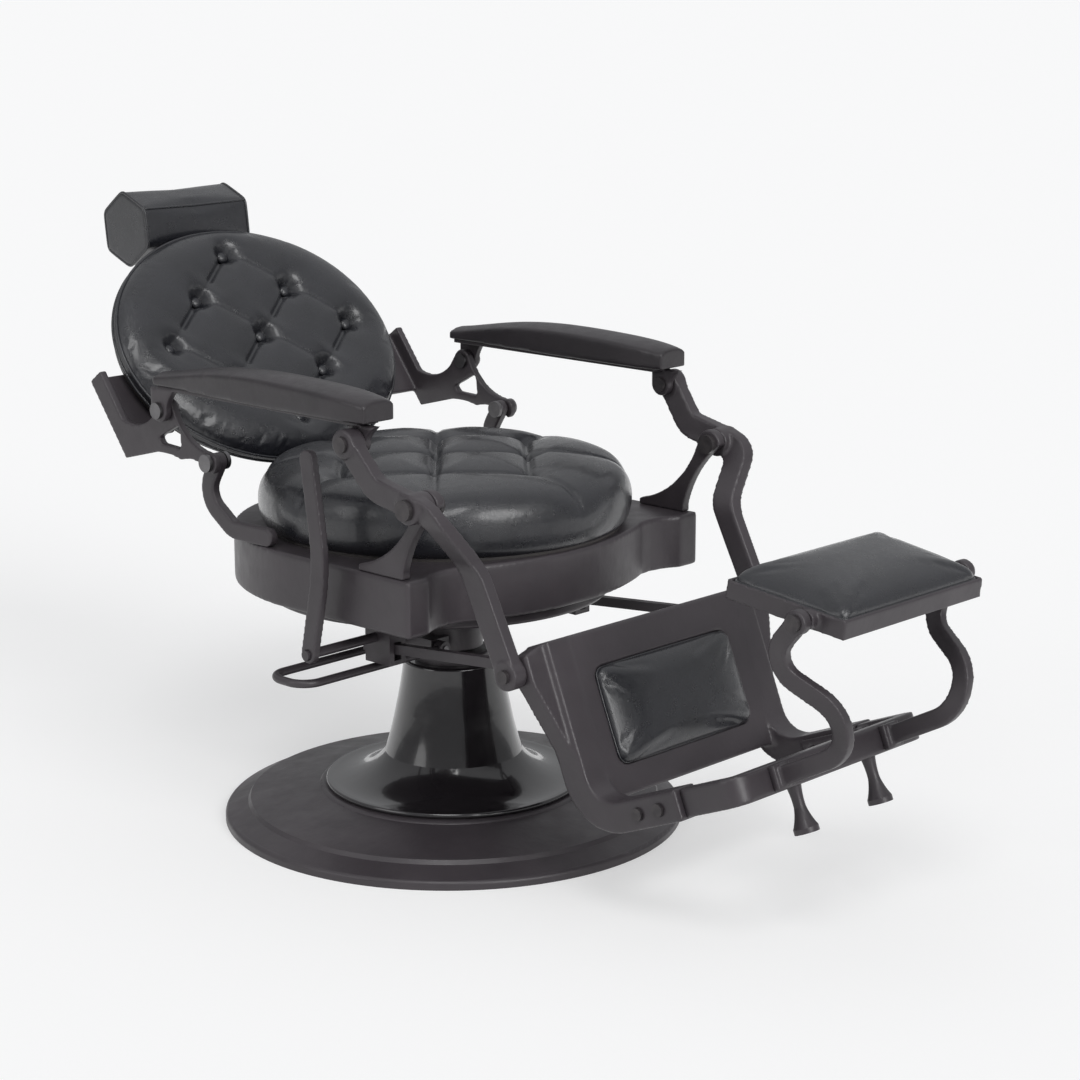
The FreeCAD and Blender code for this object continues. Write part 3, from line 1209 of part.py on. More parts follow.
def legrest_frame():
    body = new_body("panel")
    sketch = new_sketch(body, "XZ_Plane", "-panel_front")
    outline(sketch, box_corners("-panel_half_width - 2", "panel_half_width + 2",
                                "panel_bottom", "panel_top"))
    pad(body, sketch, "panel_thick", reverse=True)
    recess = new_sketch(body, "XZ_Plane", "-panel_front")
    outline(recess, rounded_box("calf_half_width", "calf_bottom", "calf_top", "calf_corner"))
    pocket(body, recess, "calf_recess")
    solids = [body] + both_sides("legrest_rail", legrest_rail) + both_sides("legrest_stub", legrest_stub)
    solids += both_sides("legrest_wing", legrest_wing)
    holes = []
    behind = "rail_middle + rail_depth / 2 - 2"
    foot = along_legrest("lever_foot_y", "lever_foot_z")
    for sign, word in ((1, "left"), (-1, "right")):
        for number, x in enumerate(lock_cheek_x()):
            solids.append(cross_block("cheek%s_%s" % ("ab"[number], word), sign, x,
                                      (behind, "lock_pin_y + 11"), ("lock_pin_z - 12", "lock_pin_z + 14")))
        holes.append(cross_rod("lock_hole_" + word, sign, "lock_pin_radius + running_fit", "lock_x - 40",
                               "lock_x + 40", "lock_pin_y", "lock_pin_z"))
        for spot in foot_bolt_spots():
            holes.append(cross_rod("rail_hole_" + word, sign, "foot_bolt_radius + running_fit",
                                   "panel_half_width - 5", "panel_half_width + rail_width + 5",
                                   spot, "foot_level"))
        holes.append(cross_rod("stub_hole_" + word, sign, "foot_bolt_radius + running_fit",
                               lever_foot_face() + " - 24", lever_foot_face() + " + 10", *foot))
    frame = cut("legrest_cut", fuse("legrest_fuse", solids), holes)
    node(place_on_legrest(frame), "legrest_frame")


def calf_pad():
    body = new_body("calf_soft")
    front = "-(panel_front - calf_rise)"
    sketch = new_sketch(body, "XZ_Plane", front)
    outline(sketch, rounded_box("calf_half_width - free_gap", "calf_bottom + free_gap",
                                "calf_top - free_gap", "calf_corner"))
    pad(body, sketch, "calf_rise + calf_recess - free_gap", reverse=True)
    round_edges(body, "calf_round", lambda e: e.BoundBox.YMax < value("panel_front - calf_rise") + 0.1)
    node(place_on_legrest(body), "calf_pad")


def foot_frame():
    body = new_body("foot_bar")
    sketch = new_sketch(body, "XY_Plane", "foot_level")
    inner = "foot_half_width - foot_bar_thick"
    corner = "foot_half_width - foot_corner"
    outline(sketch, [
        ("foot_half_width", "seam"), (inner, "seam"), (inner, "foot_reach + foot_bar_thick + 4"),
        ("%s - 4" % inner, "foot_reach + foot_bar_thick", "-4"),
        ("-(%s) + 4" % inner, "foot_reach + foot_bar_thick"),
        ("-(%s)" % inner, "foot_reach + foot_bar_thick + 4", "-4"),
        ("-(%s)" % inner, "seam"), ("-foot_half_width", "seam"),
        ("-foot_half_width", "foot_reach + foot_corner"), ("-(%s)" % corner, "foot_reach", "foot_corner"),
        (corner, "foot_reach"), ("foot_half_width", "foot_reach + foot_corner", "foot_corner")])
    pad(body, sketch, "foot_bar_height", both_ways=True)
    solids, holes = [body], []
    inside = "panel_half_width - tongue_thick"
    level = ("foot_level - foot_bar_height / 2 + 4", "foot_level + foot_bar_height / 2 - 4")
    for sign, word in ((1, "left"), (-1, "right")):
        solids.append(cross_block("tongue_" + word, sign, (inside, "panel_half_width"),
                                  ("seam - 16", "tongue_end"), level))
        solids.append(cross_block("tongue_root_" + word, sign, (inside, inner + " + 2"),
                                  ("seam - 16", "seam"), level))
        for spot in foot_bolt_spots():
            holes.append(cross_rod("tongue_hole_" + word, sign, "foot_bolt_radius + running_fit",
                                   inside + " - 5", "panel_half_width + 5", spot, "foot_level"))
    frame = cut("foot_cut", fuse("foot_fuse", solids), holes)
    node(place_on_legrest(frame), "foot_frame")
    bolts = []
    for number, spot in enumerate(foot_bolt_spots()):
        name = "foot_bolt%s" % "ab"[number]
        outer = "panel_half_width + rail_width"
        bolts.append(fuse(name, [
            rod_along_x(name + "_shank", "foot_bolt_radius", inside, outer, spot, "foot_level"),
            rod_along_x(name + "_head", "foot_bolt_radius * 1.7", outer, outer + " + foot_bolt_cap",
                        spot, "foot_level")]))
    pair(place_on_legrest(group("foot_bolt_group", bolts)), "foot_frame_bolts")


def floor_pegs():
    top = "foot_level - foot_bar_height / 2"
    spot = from_legrest("foot_reach + foot_bar_thick / 2", top)
    peg = lathe("peg", [
        ("0", "-peg_length"), ("peg_foot_radius", "-peg_length"), ("peg_foot_radius", "-peg_length + 7"),
        ("peg_radius", "-peg_length * 0.45", "-90"), ("peg_radius + 2", "0", "-120"), ("0", "0")])
    pair(place(peg, "peg_x", spot[0], spot[1], (1, 0, 0), "-legrest_tilt"), "floor_pegs")


def pad_brackets():
    """An S-shaped arm that splays outwards from the foot frame to the foot pad's pivot."""
    front = "foot_reach - pad_flange_thick"
    spots = [("pad_foot_x", front + " + 4", "foot_level"), ("pad_foot_x + 2", "pad_bow_y", "pad_bow_z"),
             ("pad_pivot_x - 7", "pad_waist_y", "pad_waist_z"),
             ("pad_pivot_x", "pad_pivot_y", "pad_pivot_z")]
    points = [Vector(*[value(number) for number in spot]) for spot in spots]
    path = bent_path(points, [value("pad_bow_radius"), value("pad_waist_radius")])
    spine = Part.Wire([edge.toShape() for edge in path])
    along = (points[1] - points[0]).normalize()
    across = along.cross(Vector(1, 0, 0)).normalize() * value("pad_bracket_width / 2")
    thick = across.cross(along).normalize() * value("pad_bracket_thick / 2")
    rim = [points[0] + across * a + thick * t for a, t in ((1, 1), (-1, 1), (-1, -1), (1, -1))]
    section = Part.makePolygon(rim + rim[:1])
    sweep = Part.BRepOffsetAPI.MakePipeShell(spine)
    sweep.setBiNormalMode(Vector(1, 0, 0))
    sweep.add(section)
    sweep.build()
    sweep.makeSolid()
    boss_x = value("pad_pivot_x - pad_bracket_thick / 2")
    pivot = Vector(boss_x, points[-1].y, points[-1].z)
    sideways = Vector(1, 0, 0)
    boss = Part.makeCylinder(value("pad_bracket_width / 2 + 3"), value("pad_bracket_thick"),
                             pivot, sideways)
    flange = Part.makeBox(value("pad_flange_width"), value("pad_flange_thick"),
                          value("foot_bar_height - 4"))
    flange.translate(Vector(value("pad_foot_x - pad_flange_width / 2"), value(front),
                            value("foot_level - foot_bar_height / 2 + 2")))
    hole_start = pivot - sideways * value("pad_bracket_thick")
    hole = Part.makeCylinder(value("pad_bolt_radius + running_fit"), value("pad_bracket_thick * 3"),
                             hole_start, sideways)
    bracket = doc.addObject("Part::Feature", "pad_bracket")
    bracket.Shape = sweep.shape().fuse([boss, flange]).removeSplitter().cut(hole)
    place_on_legrest(bracket)
    left_and_right(bracket, "pad_bracket")


def tray_outline(sketch, inset):
    """The tray's plan, wider at the rear, drawn about its pivot line."""
    return outline(sketch, [
        ("-(tray_front_half - (%s))" % inset, "-tray_front + (%s)" % inset),
        ("tray_front_half - (%s)" % inset, "-tray_front + (%s)" % inset),
        ("tray_rear_half - (%s)" % inset, "tray_rear - (%s)" % inset),
        ("-(tray_rear_half - (%s))" % inset, "tray_rear - (%s)" % inset)])


def place_on_pad(thing):
    spot = from_legrest("pad_pivot_y", "pad_pivot_z")
    return place(thing, "0", spot[0], spot[1], (1, 0, 0), "pad_tilt")


def foot_pad():
    tray = new_body("tray")
    pad(tray, tray_outline(new_sketch(tray, "XY_Plane", "-tray_below"), "0"), "tray_below + tray_above")
    hollow = tray_outline(new_sketch(tray, "XY_Plane", "tray_above"), "tray_wall")
    pocket(tray, hollow, "tray_below + tray_above - tray_wall")
    side = "tray_front_half + (tray_rear_half - tray_front_half) * tray_front / (tray_front + tray_rear)"
    boss_end = "pad_pivot_x - pad_bracket_thick / 2 - pad_boss_gap"
    solids, holes = [tray], []
    for sign, word in ((1, "left"), (-1, "right")):
        solids.append(cross_rod("tray_boss_" + word, sign, "tray_boss", side + " - tray_wall * 0.55",
                                boss_end, "0", "0"))
        holes.append(cross_rod("tray_hole_" + word, sign, "pad_bolt_radius + running_fit", side + " - 20",
                               boss_end + " + 10", "0", "0"))
    node(place_on_pad(cut("tray_cut", fuse("tray_fuse", solids), holes)), "foot_tray")
    cushion = new_body("foot_soft")
    low = "-tray_below + tray_wall + free_gap"
    pad(cushion, tray_outline(new_sketch(cushion, "XY_Plane", low), "tray_wall + free_gap"),
        "tray_above + pad_rise - (%s)" % low)
    top = value("tray_above + pad_rise")
    round_edges(cushion, "pad_round", lambda e: e.BoundBox.ZMin > top - 0.1)
    node(place_on_pad(cushion), "foot_cushion")
    bolt_end = "pad_pivot_x + pad_bracket_thick / 2 + free_gap"
    bolt = fuse("pad_bolt", [
        rod_along_x("pad_bolt_shank", "pad_bolt_radius", side + " - tray_wall + 1", bolt_end, "0", "0"),
        rod_along_x("pad_bolt_head", "pad_bolt_radius * 1.8", bolt_end, bolt_end + " + pad_bolt_cap",
                    "0", "0")])
    pair(place_on_pad(fuse_one("pad_bolt_placed", bolt)), "pad_pivot_bolts")


# Recline lock

def lock_bars():
    pin = from_legrest("lock_pin_y", "lock_pin_z")
    bar = block("lock_bar_block", ("lock_x - lock_width / 2", "lock_x + lock_width / 2"),
                ("-lock_height * 0.8", "lock_length"), ("-lock_height / 2", "lock_height / 2"))
    hole = rod_along_x("lock_bar_hole", "lock_pin_radius + running_fit", "lock_x - 30", "lock_x + 30",
                       "0", "0")
    placed = place(cut("lock_bar_cut", bar, [hole]), "0", pin[0], pin[1], (1, 0, 0), "-lock_slope")
    left_and_right(placed, "lock_bar")
    ends = (lock_cheek_x()[0][0], lock_cheek_x()[1][1])
    pair(rod_along_x("lock_pin_rod", "lock_pin_radius", ends[0], ends[1], *pin), "lock_pins")
    middle = "%s - (guide_y - (%s)) * tan(lock_slope)" % (pin[1], pin[0])
    half = "lock_height / 2 + lock_play + guide_length / 2 * tan(lock_slope)"
    slot_low = "%s - (%s) - lock_sag" % (middle, half)
    beside = "(lock_width / 2 + free_gap * 2)"
    span = ("guide_y - guide_length / 2", "guide_y + guide_length / 2")
    outer = block("guide_outer", ("lock_x - %s - guide_wall" % beside, "lock_x + %s + guide_wall" % beside),
                  span, ("%s - guide_wall * 0.7" % slot_low, "ring_bottom - pan_depth"))
    slot = block("guide_slot", ("lock_x - " + beside, "lock_x + " + beside),
                 (span[0] + " - 5", span[1] + " + 5"),
                 (slot_low, "%s + (%s)" % (middle, half)))
    bore = rod_along_x("guide_bore", "shaft_radius + running_fit", "lock_x - 40", "lock_x + 40",
                       "shaft_y", "shaft_z")
    pair(cut("guide_cut", outer, [slot, bore]), "lock_guides")


def hand_lever():
    body = new_body("hand_bar")
    sketch = new_sketch(body, "YZ_Plane", "-hand_lever_x - hand_lever_thick / 2")
    points = plane_points([("shaft_y", "shaft_z"), ("hand_lever_bow_y", "hand_lever_bow_z"),
                           ("hand_lever_top_y", "hand_lever_top_z")])
    ribbon(sketch, points, [value("hand_lever_bend")], value("hand_lever_width"))
    circle_hole = new_sketch(body, "YZ_Plane", "-hand_lever_x - hand_lever_thick / 2")
    pad(body, sketch, "hand_lever_thick")
    circle(circle_hole, "shaft_y", "shaft_z", "shaft_radius + running_fit")
    pocket(body, circle_hole, "hand_lever_thick", reverse=True)
    node(body, "hand_lever")
    shaft = rod_along_x("shaft", "shaft_radius", "-hand_lever_x - hand_lever_thick / 2 - 4",
                        "lock_x + lock_width / 2 + guide_wall", "shaft_y", "shaft_z")
    node(shaft, "hand_lever_shaft")


base_dish()
column_cover()
lift()
swivel_head()
pump_lever()
carrier_pan()
seat()
lever_brackets()
back_straps()
back()
back_brackets()
headrest()
armrests()
arm_rails()
side_levers()
legrest_frame()
calf_pad()
foot_frame()
floor_pegs()
pad_brackets()
foot_pad()
lock_bars()
hand_lever()
doc.recompute()

faults = []
for thing in doc.Objects:
    if "Invalid" in thing.State or "Error" in thing.State:
        faults.append("%s is %s" % (thing.Label, thing.State))
for thing in nodes:
    if thing.Shape.isNull() or not thing.Shape.isValid() or not thing.Shape.Solids:
        faults.append("%s has no valid solid" % thing.Label)
if faults:
    raise RuntimeError("; ".join(faults))

os.makedirs("parts", exist_ok=True)
for thing in nodes:
    thing.Shape.exportStep("parts/%s.step" % thing.Label)
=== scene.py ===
import json
import math

import bpy
import numpy as np
from mathutils import Matrix, Vector


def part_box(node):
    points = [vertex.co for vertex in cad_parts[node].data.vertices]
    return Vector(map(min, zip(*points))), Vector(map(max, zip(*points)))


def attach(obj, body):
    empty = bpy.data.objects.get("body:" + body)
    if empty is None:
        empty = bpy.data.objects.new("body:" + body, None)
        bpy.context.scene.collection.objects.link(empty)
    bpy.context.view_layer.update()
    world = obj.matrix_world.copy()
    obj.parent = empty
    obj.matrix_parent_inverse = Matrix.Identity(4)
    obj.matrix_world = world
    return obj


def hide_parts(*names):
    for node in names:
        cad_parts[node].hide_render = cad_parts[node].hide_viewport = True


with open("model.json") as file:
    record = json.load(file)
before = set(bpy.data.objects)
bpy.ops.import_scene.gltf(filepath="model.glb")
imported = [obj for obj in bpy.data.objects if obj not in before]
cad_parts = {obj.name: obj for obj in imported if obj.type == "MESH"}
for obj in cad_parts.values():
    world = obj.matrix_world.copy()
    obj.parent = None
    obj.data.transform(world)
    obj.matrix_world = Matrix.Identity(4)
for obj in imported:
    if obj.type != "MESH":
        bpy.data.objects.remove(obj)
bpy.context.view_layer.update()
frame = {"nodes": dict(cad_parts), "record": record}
scene = bpy.context.scene

# Tilted frames of the chair, in metres: X to the sitter's left, Y backwards, Z up.

BACK_TILT = 37.0
LEGREST_TILT = 22.3
FOOT_PAD_TILT = 8.0
BACK_ORIGIN = (0, 0.438, 0.642)
LEGREST_ORIGIN = (0, -0.383, 0.360)
FOOT_PIVOT_ON_LEGREST = (0, -0.406, -0.047)
on_back = Matrix.Translation(BACK_ORIGIN) @ Matrix.Rotation(math.radians(-BACK_TILT), 4, "X")
on_legrest = Matrix.Translation(LEGREST_ORIGIN) @ Matrix.Rotation(math.radians(-LEGREST_TILT), 4, "X")
foot_pivot = on_legrest @ Vector(FOOT_PIVOT_ON_LEGREST)
on_foot_pad = Matrix.Translation(foot_pivot) @ Matrix.Rotation(math.radians(FOOT_PAD_TILT), 4, "X")

# Cushions: voxel sizes in metres, and the air that puffs them out

REMESH_VOXEL = 0.005
FINE_VOXEL = 0.004
SIM_FRAMES = 20
AIR_PRESSURE = 4.0

# Light: strengths of what is seen and of what lights the chair

FLOOR_REACH = 120.0
FLOOR_SHADE = (0.62, 0.62, 0.62)
FLOOR_LIFT = 0.41
BACKDROP = 0.90
BACKDROP_IN_GLOSS = 0.25
SKY_TINT = (0.97, 0.98, 1, 1)
HORIZON_LIGHT = 0.12
ZENITH_LIGHT = 0.62
ZENITH_HEIGHT = 0.9
LAMP_TARGET = Vector((0, 0, 0.45))

# Camera, at the photograph's viewing angle

CAMERA_SPOT = (-2.5669, -2.6033, 1.2808)
CAMERA_AZIMUTH = math.radians(-46.63)
CAMERA_ELEVATION = math.radians(13.30)
CAMERA_SENSOR = 36
CAMERA_LENS = 84.84
CAMERA_REACH = 500


# Meshes

def mesh_object(name, points, faces):
    mesh = bpy.data.meshes.new(name)
    mesh.from_pydata([tuple(p) for p in points], [], faces)
    mesh.validate()
    made = bpy.data.objects.new(name, mesh)
    scene.collection.objects.link(made)
    return made


def skin(name, rings):
    """A closed mesh through rings of points, with a flat cap on the first and the last ring."""
    size = len(rings[0])
    points = [p for ring in rings for p in ring]
    faces = [list(range(size))[::-1], [len(points) - size + i for i in range(size)]]
    for low in range(len(rings) - 1):
        for i in range(size):
            after = (i + 1) % size
            below, above = low * size, (low + 1) * size
            faces.append((below + i, below + after, above + after, above + i))
    return mesh_object(name, points, faces)


def ellipse(half_width, half_height, count=96):
    turns = [2 * math.pi * i / count for i in range(count)]
    return [(half_width * math.cos(t), half_height * math.sin(t)) for t in turns]


def rounded(corners, radius, steps=8):
    """A closed outline through corners, each one rounded."""
    points = []
    for before, corner, after in zip(corners[-1:] + corners[:-1], corners, corners[1:] + corners[:1]):
        corner = Vector(corner)
        start = corner + (Vector(before) - corner).normalized() * radius
        end = corner + (Vector(after) - corner).normalized() * radius
        for i in range(steps + 1):
            t = i / steps
            points.append(start * (1 - t) ** 2 + corner * 2 * t * (1 - t) + end * t ** 2)
    return points


def coordinates(piece):
    flat = np.empty(len(piece.data.vertices) * 3, np.float32)
    piece.data.vertices.foreach_get("co", flat)
    return flat.reshape(-1, 3).astype(float)


def set_coordinates(piece, points):
    piece.data.vertices.foreach_set("co", points.astype(np.float32).ravel())
    piece.data.update()


def normals(piece):
    flat = np.empty(len(piece.data.vertices) * 3, np.float32)
    piece.data.vertices.foreach_get("normal", flat)
    return flat.reshape(-1, 3).astype(float)


def apply_modifiers(piece):
    graph = bpy.context.evaluated_depsgraph_get()
    mesh = bpy.data.meshes.new_from_object(piece.evaluated_get(graph))
    old = piece.data
    piece.modifiers.clear()
    piece.data = mesh
    bpy.data.meshes.remove(old)
    mesh.name = piece.name
    return piece


def remesh(piece, voxel=REMESH_VOXEL, relax=4):
    """An even skin over the piece, relaxed so that the voxels don't show."""
    step = piece.modifiers.new("even", "REMESH")
    step.mode = "VOXEL"
    step.voxel_size = voxel
    smooth = piece.modifiers.new("relax", "SMOOTH")
    smooth.factor = 0.5
    smooth.iterations = relax
    return apply_modifiers(piece)


def subdivide(piece):
    step = piece.modifiers.new("finer", "SUBSURF")
    step.levels = 1
    step.render_levels = 1
    apply_modifiers(piece)
    piece.data.polygons.foreach_set("use_smooth", [True] * len(piece.data.polygons))
    return piece


def inflate(piece, held, cap):
    """Puff a cushion out; held is 1 where a point is sewn down, and no point moves more than cap."""
    rest = coordinates(piece)
    sewn = piece.vertex_groups.new(name="sewn")
    for index in np.nonzero(held > 0.01)[0]:
        sewn.add([int(index)], float(held[index]), "REPLACE")
    cloth = piece.modifiers.new("air", "CLOTH")
    settings = cloth.settings
    settings.quality = 4
    settings.vertex_group_mass = sewn.name
    settings.use_pressure = True
    settings.uniform_pressure_force = AIR_PRESSURE
    settings.effector_weights.gravity = 0
    cloth.collision_settings.use_collision = False
    for number in range(1, SIM_FRAMES + 1):
        scene.frame_set(number)
    graph = bpy.context.evaluated_depsgraph_get()
    puffed = piece.evaluated_get(graph)
    flat = np.empty(len(rest) * 3, np.float32)
    puffed.data.vertices.foreach_get("co", flat)
    move = flat.reshape(-1, 3) - rest
    length = np.linalg.norm(move, axis=1)
    move *= np.minimum(1, cap / np.maximum(length, 1e-9))[:, None]
    piece.modifiers.clear()
    piece.vertex_groups.clear()
    scene.frame_set(1)
    set_coordinates(piece, rest + move)
    return piece


def segment_distance(points, start, end):
    """Distance of plane points from a segment."""
    start, end = np.array(start), np.array(end)
    way = end - start
    t = np.clip(((points - start) @ way) / (way @ way), 0, 1)
    return np.linalg.norm(points - start - t[:, None] * way, axis=1)


def diagonal_pairs(spots):
    """Numbers of the lattice spots that lie one step apart both ways, in pairs."""
    return [(i, j) for i in range(len(spots)) for j in range(i)
            if abs(spots[i][0] - spots[j][0]) == 1 and abs(spots[i][1] - spots[j][1]) == 1]


class Tufting:
    """Buttons and sewn folds (start, end, strength) on a plane, for drawing a cushion down."""

    SEWN_RADIUS = 0.016

    def __init__(self, buttons, folds):
        self.buttons = buttons
        self.folds = folds

    def depths(self, plane, fold_depth, fold_width, button_depth, button_width, swell, swell_width):
        """How far each plane point is drawn in, and how firmly it is sewn down."""
        away = np.array([segment_distance(plane, a, b) for a, b, _ in self.folds])
        strength = np.array([weight for _, _, weight in self.folds])[:, None]
        from_buttons = [np.linalg.norm(plane - np.array(b), axis=1) for b in self.buttons]
        near_button = np.min(from_buttons, axis=0)
        pull = fold_depth * np.max(strength * np.exp(-(away / fold_width) ** 2), axis=0)
        pull = pull + button_depth * np.exp(-(near_button / button_width) ** 2)
        pull = pull + swell * np.max(strength * np.exp(-(away / swell_width) ** 2), axis=0)
        sewn = np.max(strength * np.exp(-(away / (fold_width * 0.8)) ** 4), axis=0)
        return pull, np.maximum(sewn, np.exp(-(near_button / self.SEWN_RADIUS) ** 4))


def tube(name, path, radius, closed=True, sides=8):
    """A round cord along points that lie near one plane."""
    path = [Vector(p) for p in path]
    count = len(path)
    across = Vector((0, 0, 0))
    middle = sum(path, Vector((0, 0, 0))) / count
    for here, after in zip(path, path[1:] + path[:1]):
        across += (here - middle).cross(after - middle)
    across = across.normalized() if across.length > 1e-9 else Vector((0, 0, 1))
    rings = []
    for i, spot in enumerate(path):
        before = path[i - 1] if closed or i > 0 else spot
        after = path[(i + 1) % count] if closed or i < count - 1 else spot
        way = (after - before).normalized()
        side = way.cross(across).normalized()
        top = side.cross(way)
        turns = [2 * math.pi * k / sides for k in range(sides)]
        rings.append([spot + (side * math.cos(t) + top * math.sin(t)) * radius for t in turns])
    points = [p for ring in rings for p in ring]
    faces = []
    for i in range(count if closed else count - 1):
        for k in range(sides):
            low, high, turn = i * sides, (i + 1) % count * sides, (k + 1) % sides
            faces.append((low + k, low + turn, high + turn, high + k))
    if not closed:
        faces += [list(range(sides))[::-1], [len(points) - sides + k for k in range(sides)]]
    made = mesh_object(name, points, faces)
    made.data.polygons.foreach_set("use_smooth", [True] * len(faces))
    return made


def piping(name, piece, path, radius, closed=True):
    """A welt laid on a cushion's skin along a line near it."""
    laid = []
    for spot in path:
        found, place, out, _ = piece.closest_point_on_mesh(Vector(spot))
        laid.append(place + out * radius * 0.3 if found else Vector(spot))
    if closed:
        for _ in range(2):
            neighbours = zip(laid[-1:] + laid[:-1], laid, laid[1:] + laid[:1])
            laid = [(before + spot * 2 + after) / 4 for before, spot, after in neighbours]
    return tube(name, laid, radius, closed)


# Materials

class Finish:
    """A procedural material with helpers for its nodes; places are in metres on the piece."""

    def __init__(self, name, base, roughness, metallic=0.0):
        self.material = bpy.data.materials.new(name)
        self.material.use_nodes = True
        self.tree = self.material.node_tree
        self.shader = self.tree.nodes["Principled BSDF"]
        self.shader.inputs["Base Color"].default_value = (*base, 1)
        self.shader.inputs["Roughness"].default_value = roughness
        self.shader.inputs["Metallic"].default_value = metallic
        self.base = base
        self.place = self.add("ShaderNodeTexCoord").outputs["Object"]

    def add(self, kind, **settings):
        made = self.tree.nodes.new(kind)
        for name, setting in settings.items():
            setattr(made, name, setting)
        return made

    def join(self, output, socket):
        self.tree.links.new(output, socket)

    def noise(self, scale, detail=4.0, rough=0.55, stretch=None):
        made = self.add("ShaderNodeTexNoise")
        made.inputs["Scale"].default_value = scale
        made.inputs["Detail"].default_value = detail
        made.inputs["Roughness"].default_value = rough
        place = self.place
        if stretch:
            mapping = self.add("ShaderNodeMapping")
            mapping.inputs["Scale"].default_value = stretch
            self.join(place, mapping.inputs["Vector"])
            place = mapping.outputs["Vector"]
        self.join(place, made.inputs["Vector"])
        return made.outputs["Fac"]

    def cells(self, scale, feature="DISTANCE_TO_EDGE"):
        made = self.add("ShaderNodeTexVoronoi", feature=feature)
        made.inputs["Scale"].default_value = scale
        self.join(self.place, made.inputs["Vector"])
        return made.outputs["Distance"]

    def spread(self, value, low, high, from_low=0.3, from_high=0.7):
        """A number between low and high that follows value."""
        made = self.add("ShaderNodeMapRange")
        made.inputs["From Min"].default_value = from_low
        made.inputs["From Max"].default_value = from_high
        made.inputs["To Min"].default_value = low
        made.inputs["To Max"].default_value = high
        self.join(value, made.inputs["Value"])
        return made.outputs["Result"]

    def tint(self, value, other):
        """The base colour, drifting towards another one where value is high."""
        made = self.add("ShaderNodeMix", data_type="RGBA")
        made.inputs[6].default_value = (*self.base, 1)
        made.inputs[7].default_value = (*other, 1)
        self.join(value, made.inputs[0])
        self.join(made.outputs[2], self.shader.inputs["Base Color"])

    def rough(self, value):
        self.join(value, self.shader.inputs["Roughness"])

    def bumps(self, layers):
        """Bump layers (height, depth in metres), each one on top of the one before."""
        last = None
        for height, depth in layers:
            made = self.add("ShaderNodeBump")
            made.inputs["Strength"].default_value = 1.0
            made.inputs["Distance"].default_value = depth
            self.join(height, made.inputs["Height"])
            if last:
                self.join(last, made.inputs["Normal"])
            last = made.outputs["Normal"]
        self.join(last, self.shader.inputs["Normal"])


def satin_paint():
    made = Finish("satin_black_paint", (0.041, 0.0352, 0.040), 0.38)
    cloud = made.noise(9.0, 3.0)
    made.tint(made.spread(cloud, 0.0, 1.0), (0.055, 0.047, 0.053))
    made.rough(made.spread(made.noise(30.0), 0.33, 0.45))
    made.bumps([(made.noise(55.0, 2.0), 0.0004), (made.noise(900.0, 2.0), 0.00004)])
    made.shader.inputs["Specular IOR Level"].default_value = 0.5
    return made.material


def gloss_paint():
    made = Finish("gloss_black_paint", (0.012, 0.010, 0.012), 0.16)
    made.tint(made.spread(made.noise(12.0), 0.0, 1.0), (0.018, 0.016, 0.018))
    made.rough(made.spread(made.noise(40.0), 0.12, 0.22))
    made.bumps([(made.noise(30.0, 2.0), 0.0003), (made.noise(1200.0, 2.0), 0.00001)])
    made.shader.inputs["Coat Weight"].default_value = 0.6
    made.shader.inputs["Coat Roughness"].default_value = 0.06
    return made.material


def leather():
    made = Finish("black_leather", (0.0075, 0.008, 0.011), 0.30)
    made.tint(made.spread(made.noise(14.0), 0.0, 1.0), (0.014, 0.0145, 0.019))
    made.rough(made.spread(made.noise(60.0), 0.25, 0.36))
    grain = made.spread(made.cells(620.0), 0.0, 1.0, 0.0, 0.35)
    made.bumps([(made.noise(22.0, 2.0), 0.0006), (made.noise(150.0, 4.0), 0.0002), (grain, 0.00014)])
    made.shader.inputs["Coat Weight"].default_value = 0.55
    made.shader.inputs["Coat Roughness"].default_value = 0.2
    return made.material


def arm_skin():
    made = Finish("moulded_arm_skin", (0.023, 0.020, 0.023), 0.34)
    made.tint(made.spread(made.noise(12.0, 3.0), 0.0, 1.0), (0.033, 0.028, 0.032))
    made.rough(made.spread(made.noise(45.0), 0.28, 0.40))
    grain = made.spread(made.cells(900.0), 0.0, 1.0, 0.0, 0.4)
    made.bumps([(made.noise(40.0, 2.0), 0.0006), (grain, 0.00005)])
    return made.material


def plywood():
    made = Finish("stained_plywood", (0.030, 0.027, 0.027), 0.55)
    bands = made.noise(9.0, 5.0, 0.6, stretch=(1.0, 9.0, 1.0))
    made.tint(made.spread(bands, 0.0, 1.0), (0.046, 0.040, 0.038))
    made.bumps([(made.noise(60.0, 4.0, 0.6, stretch=(1.0, 12.0, 1.0)), 0.0003)])
    return made.material


def ground_steel():
    made = Finish("ground_steel", (0.20, 0.195, 0.20), 0.34, metallic=1.0)
    made.tint(made.spread(made.noise(25.0), 0.0, 1.0), (0.12, 0.117, 0.12))
    made.rough(made.spread(made.noise(40.0, 4.0, 0.6, stretch=(1.0, 1.0, 18.0)), 0.26, 0.46))
    made.bumps([(made.noise(200.0, 3.0, 0.6, stretch=(1.0, 1.0, 14.0)), 0.00006)])
    return made.material


def black_oxide():
    made = Finish("black_oxide_bolt", (0.040, 0.036, 0.039), 0.38, metallic=0.4)
    made.tint(made.spread(made.noise(80.0), 0.0, 1.0), (0.075, 0.068, 0.07))
    made.rough(made.spread(made.noise(160.0), 0.3, 0.48))
    made.bumps([(made.noise(500.0, 3.0), 0.00008)])
    return made.material


def moulded_rubber():
    made = Finish("moulded_rubber", (0.022, 0.022, 0.022), 0.7)
    made.rough(made.spread(made.noise(90.0), 0.6, 0.8))
    made.bumps([(made.noise(300.0, 3.0), 0.0001)])
    return made.material


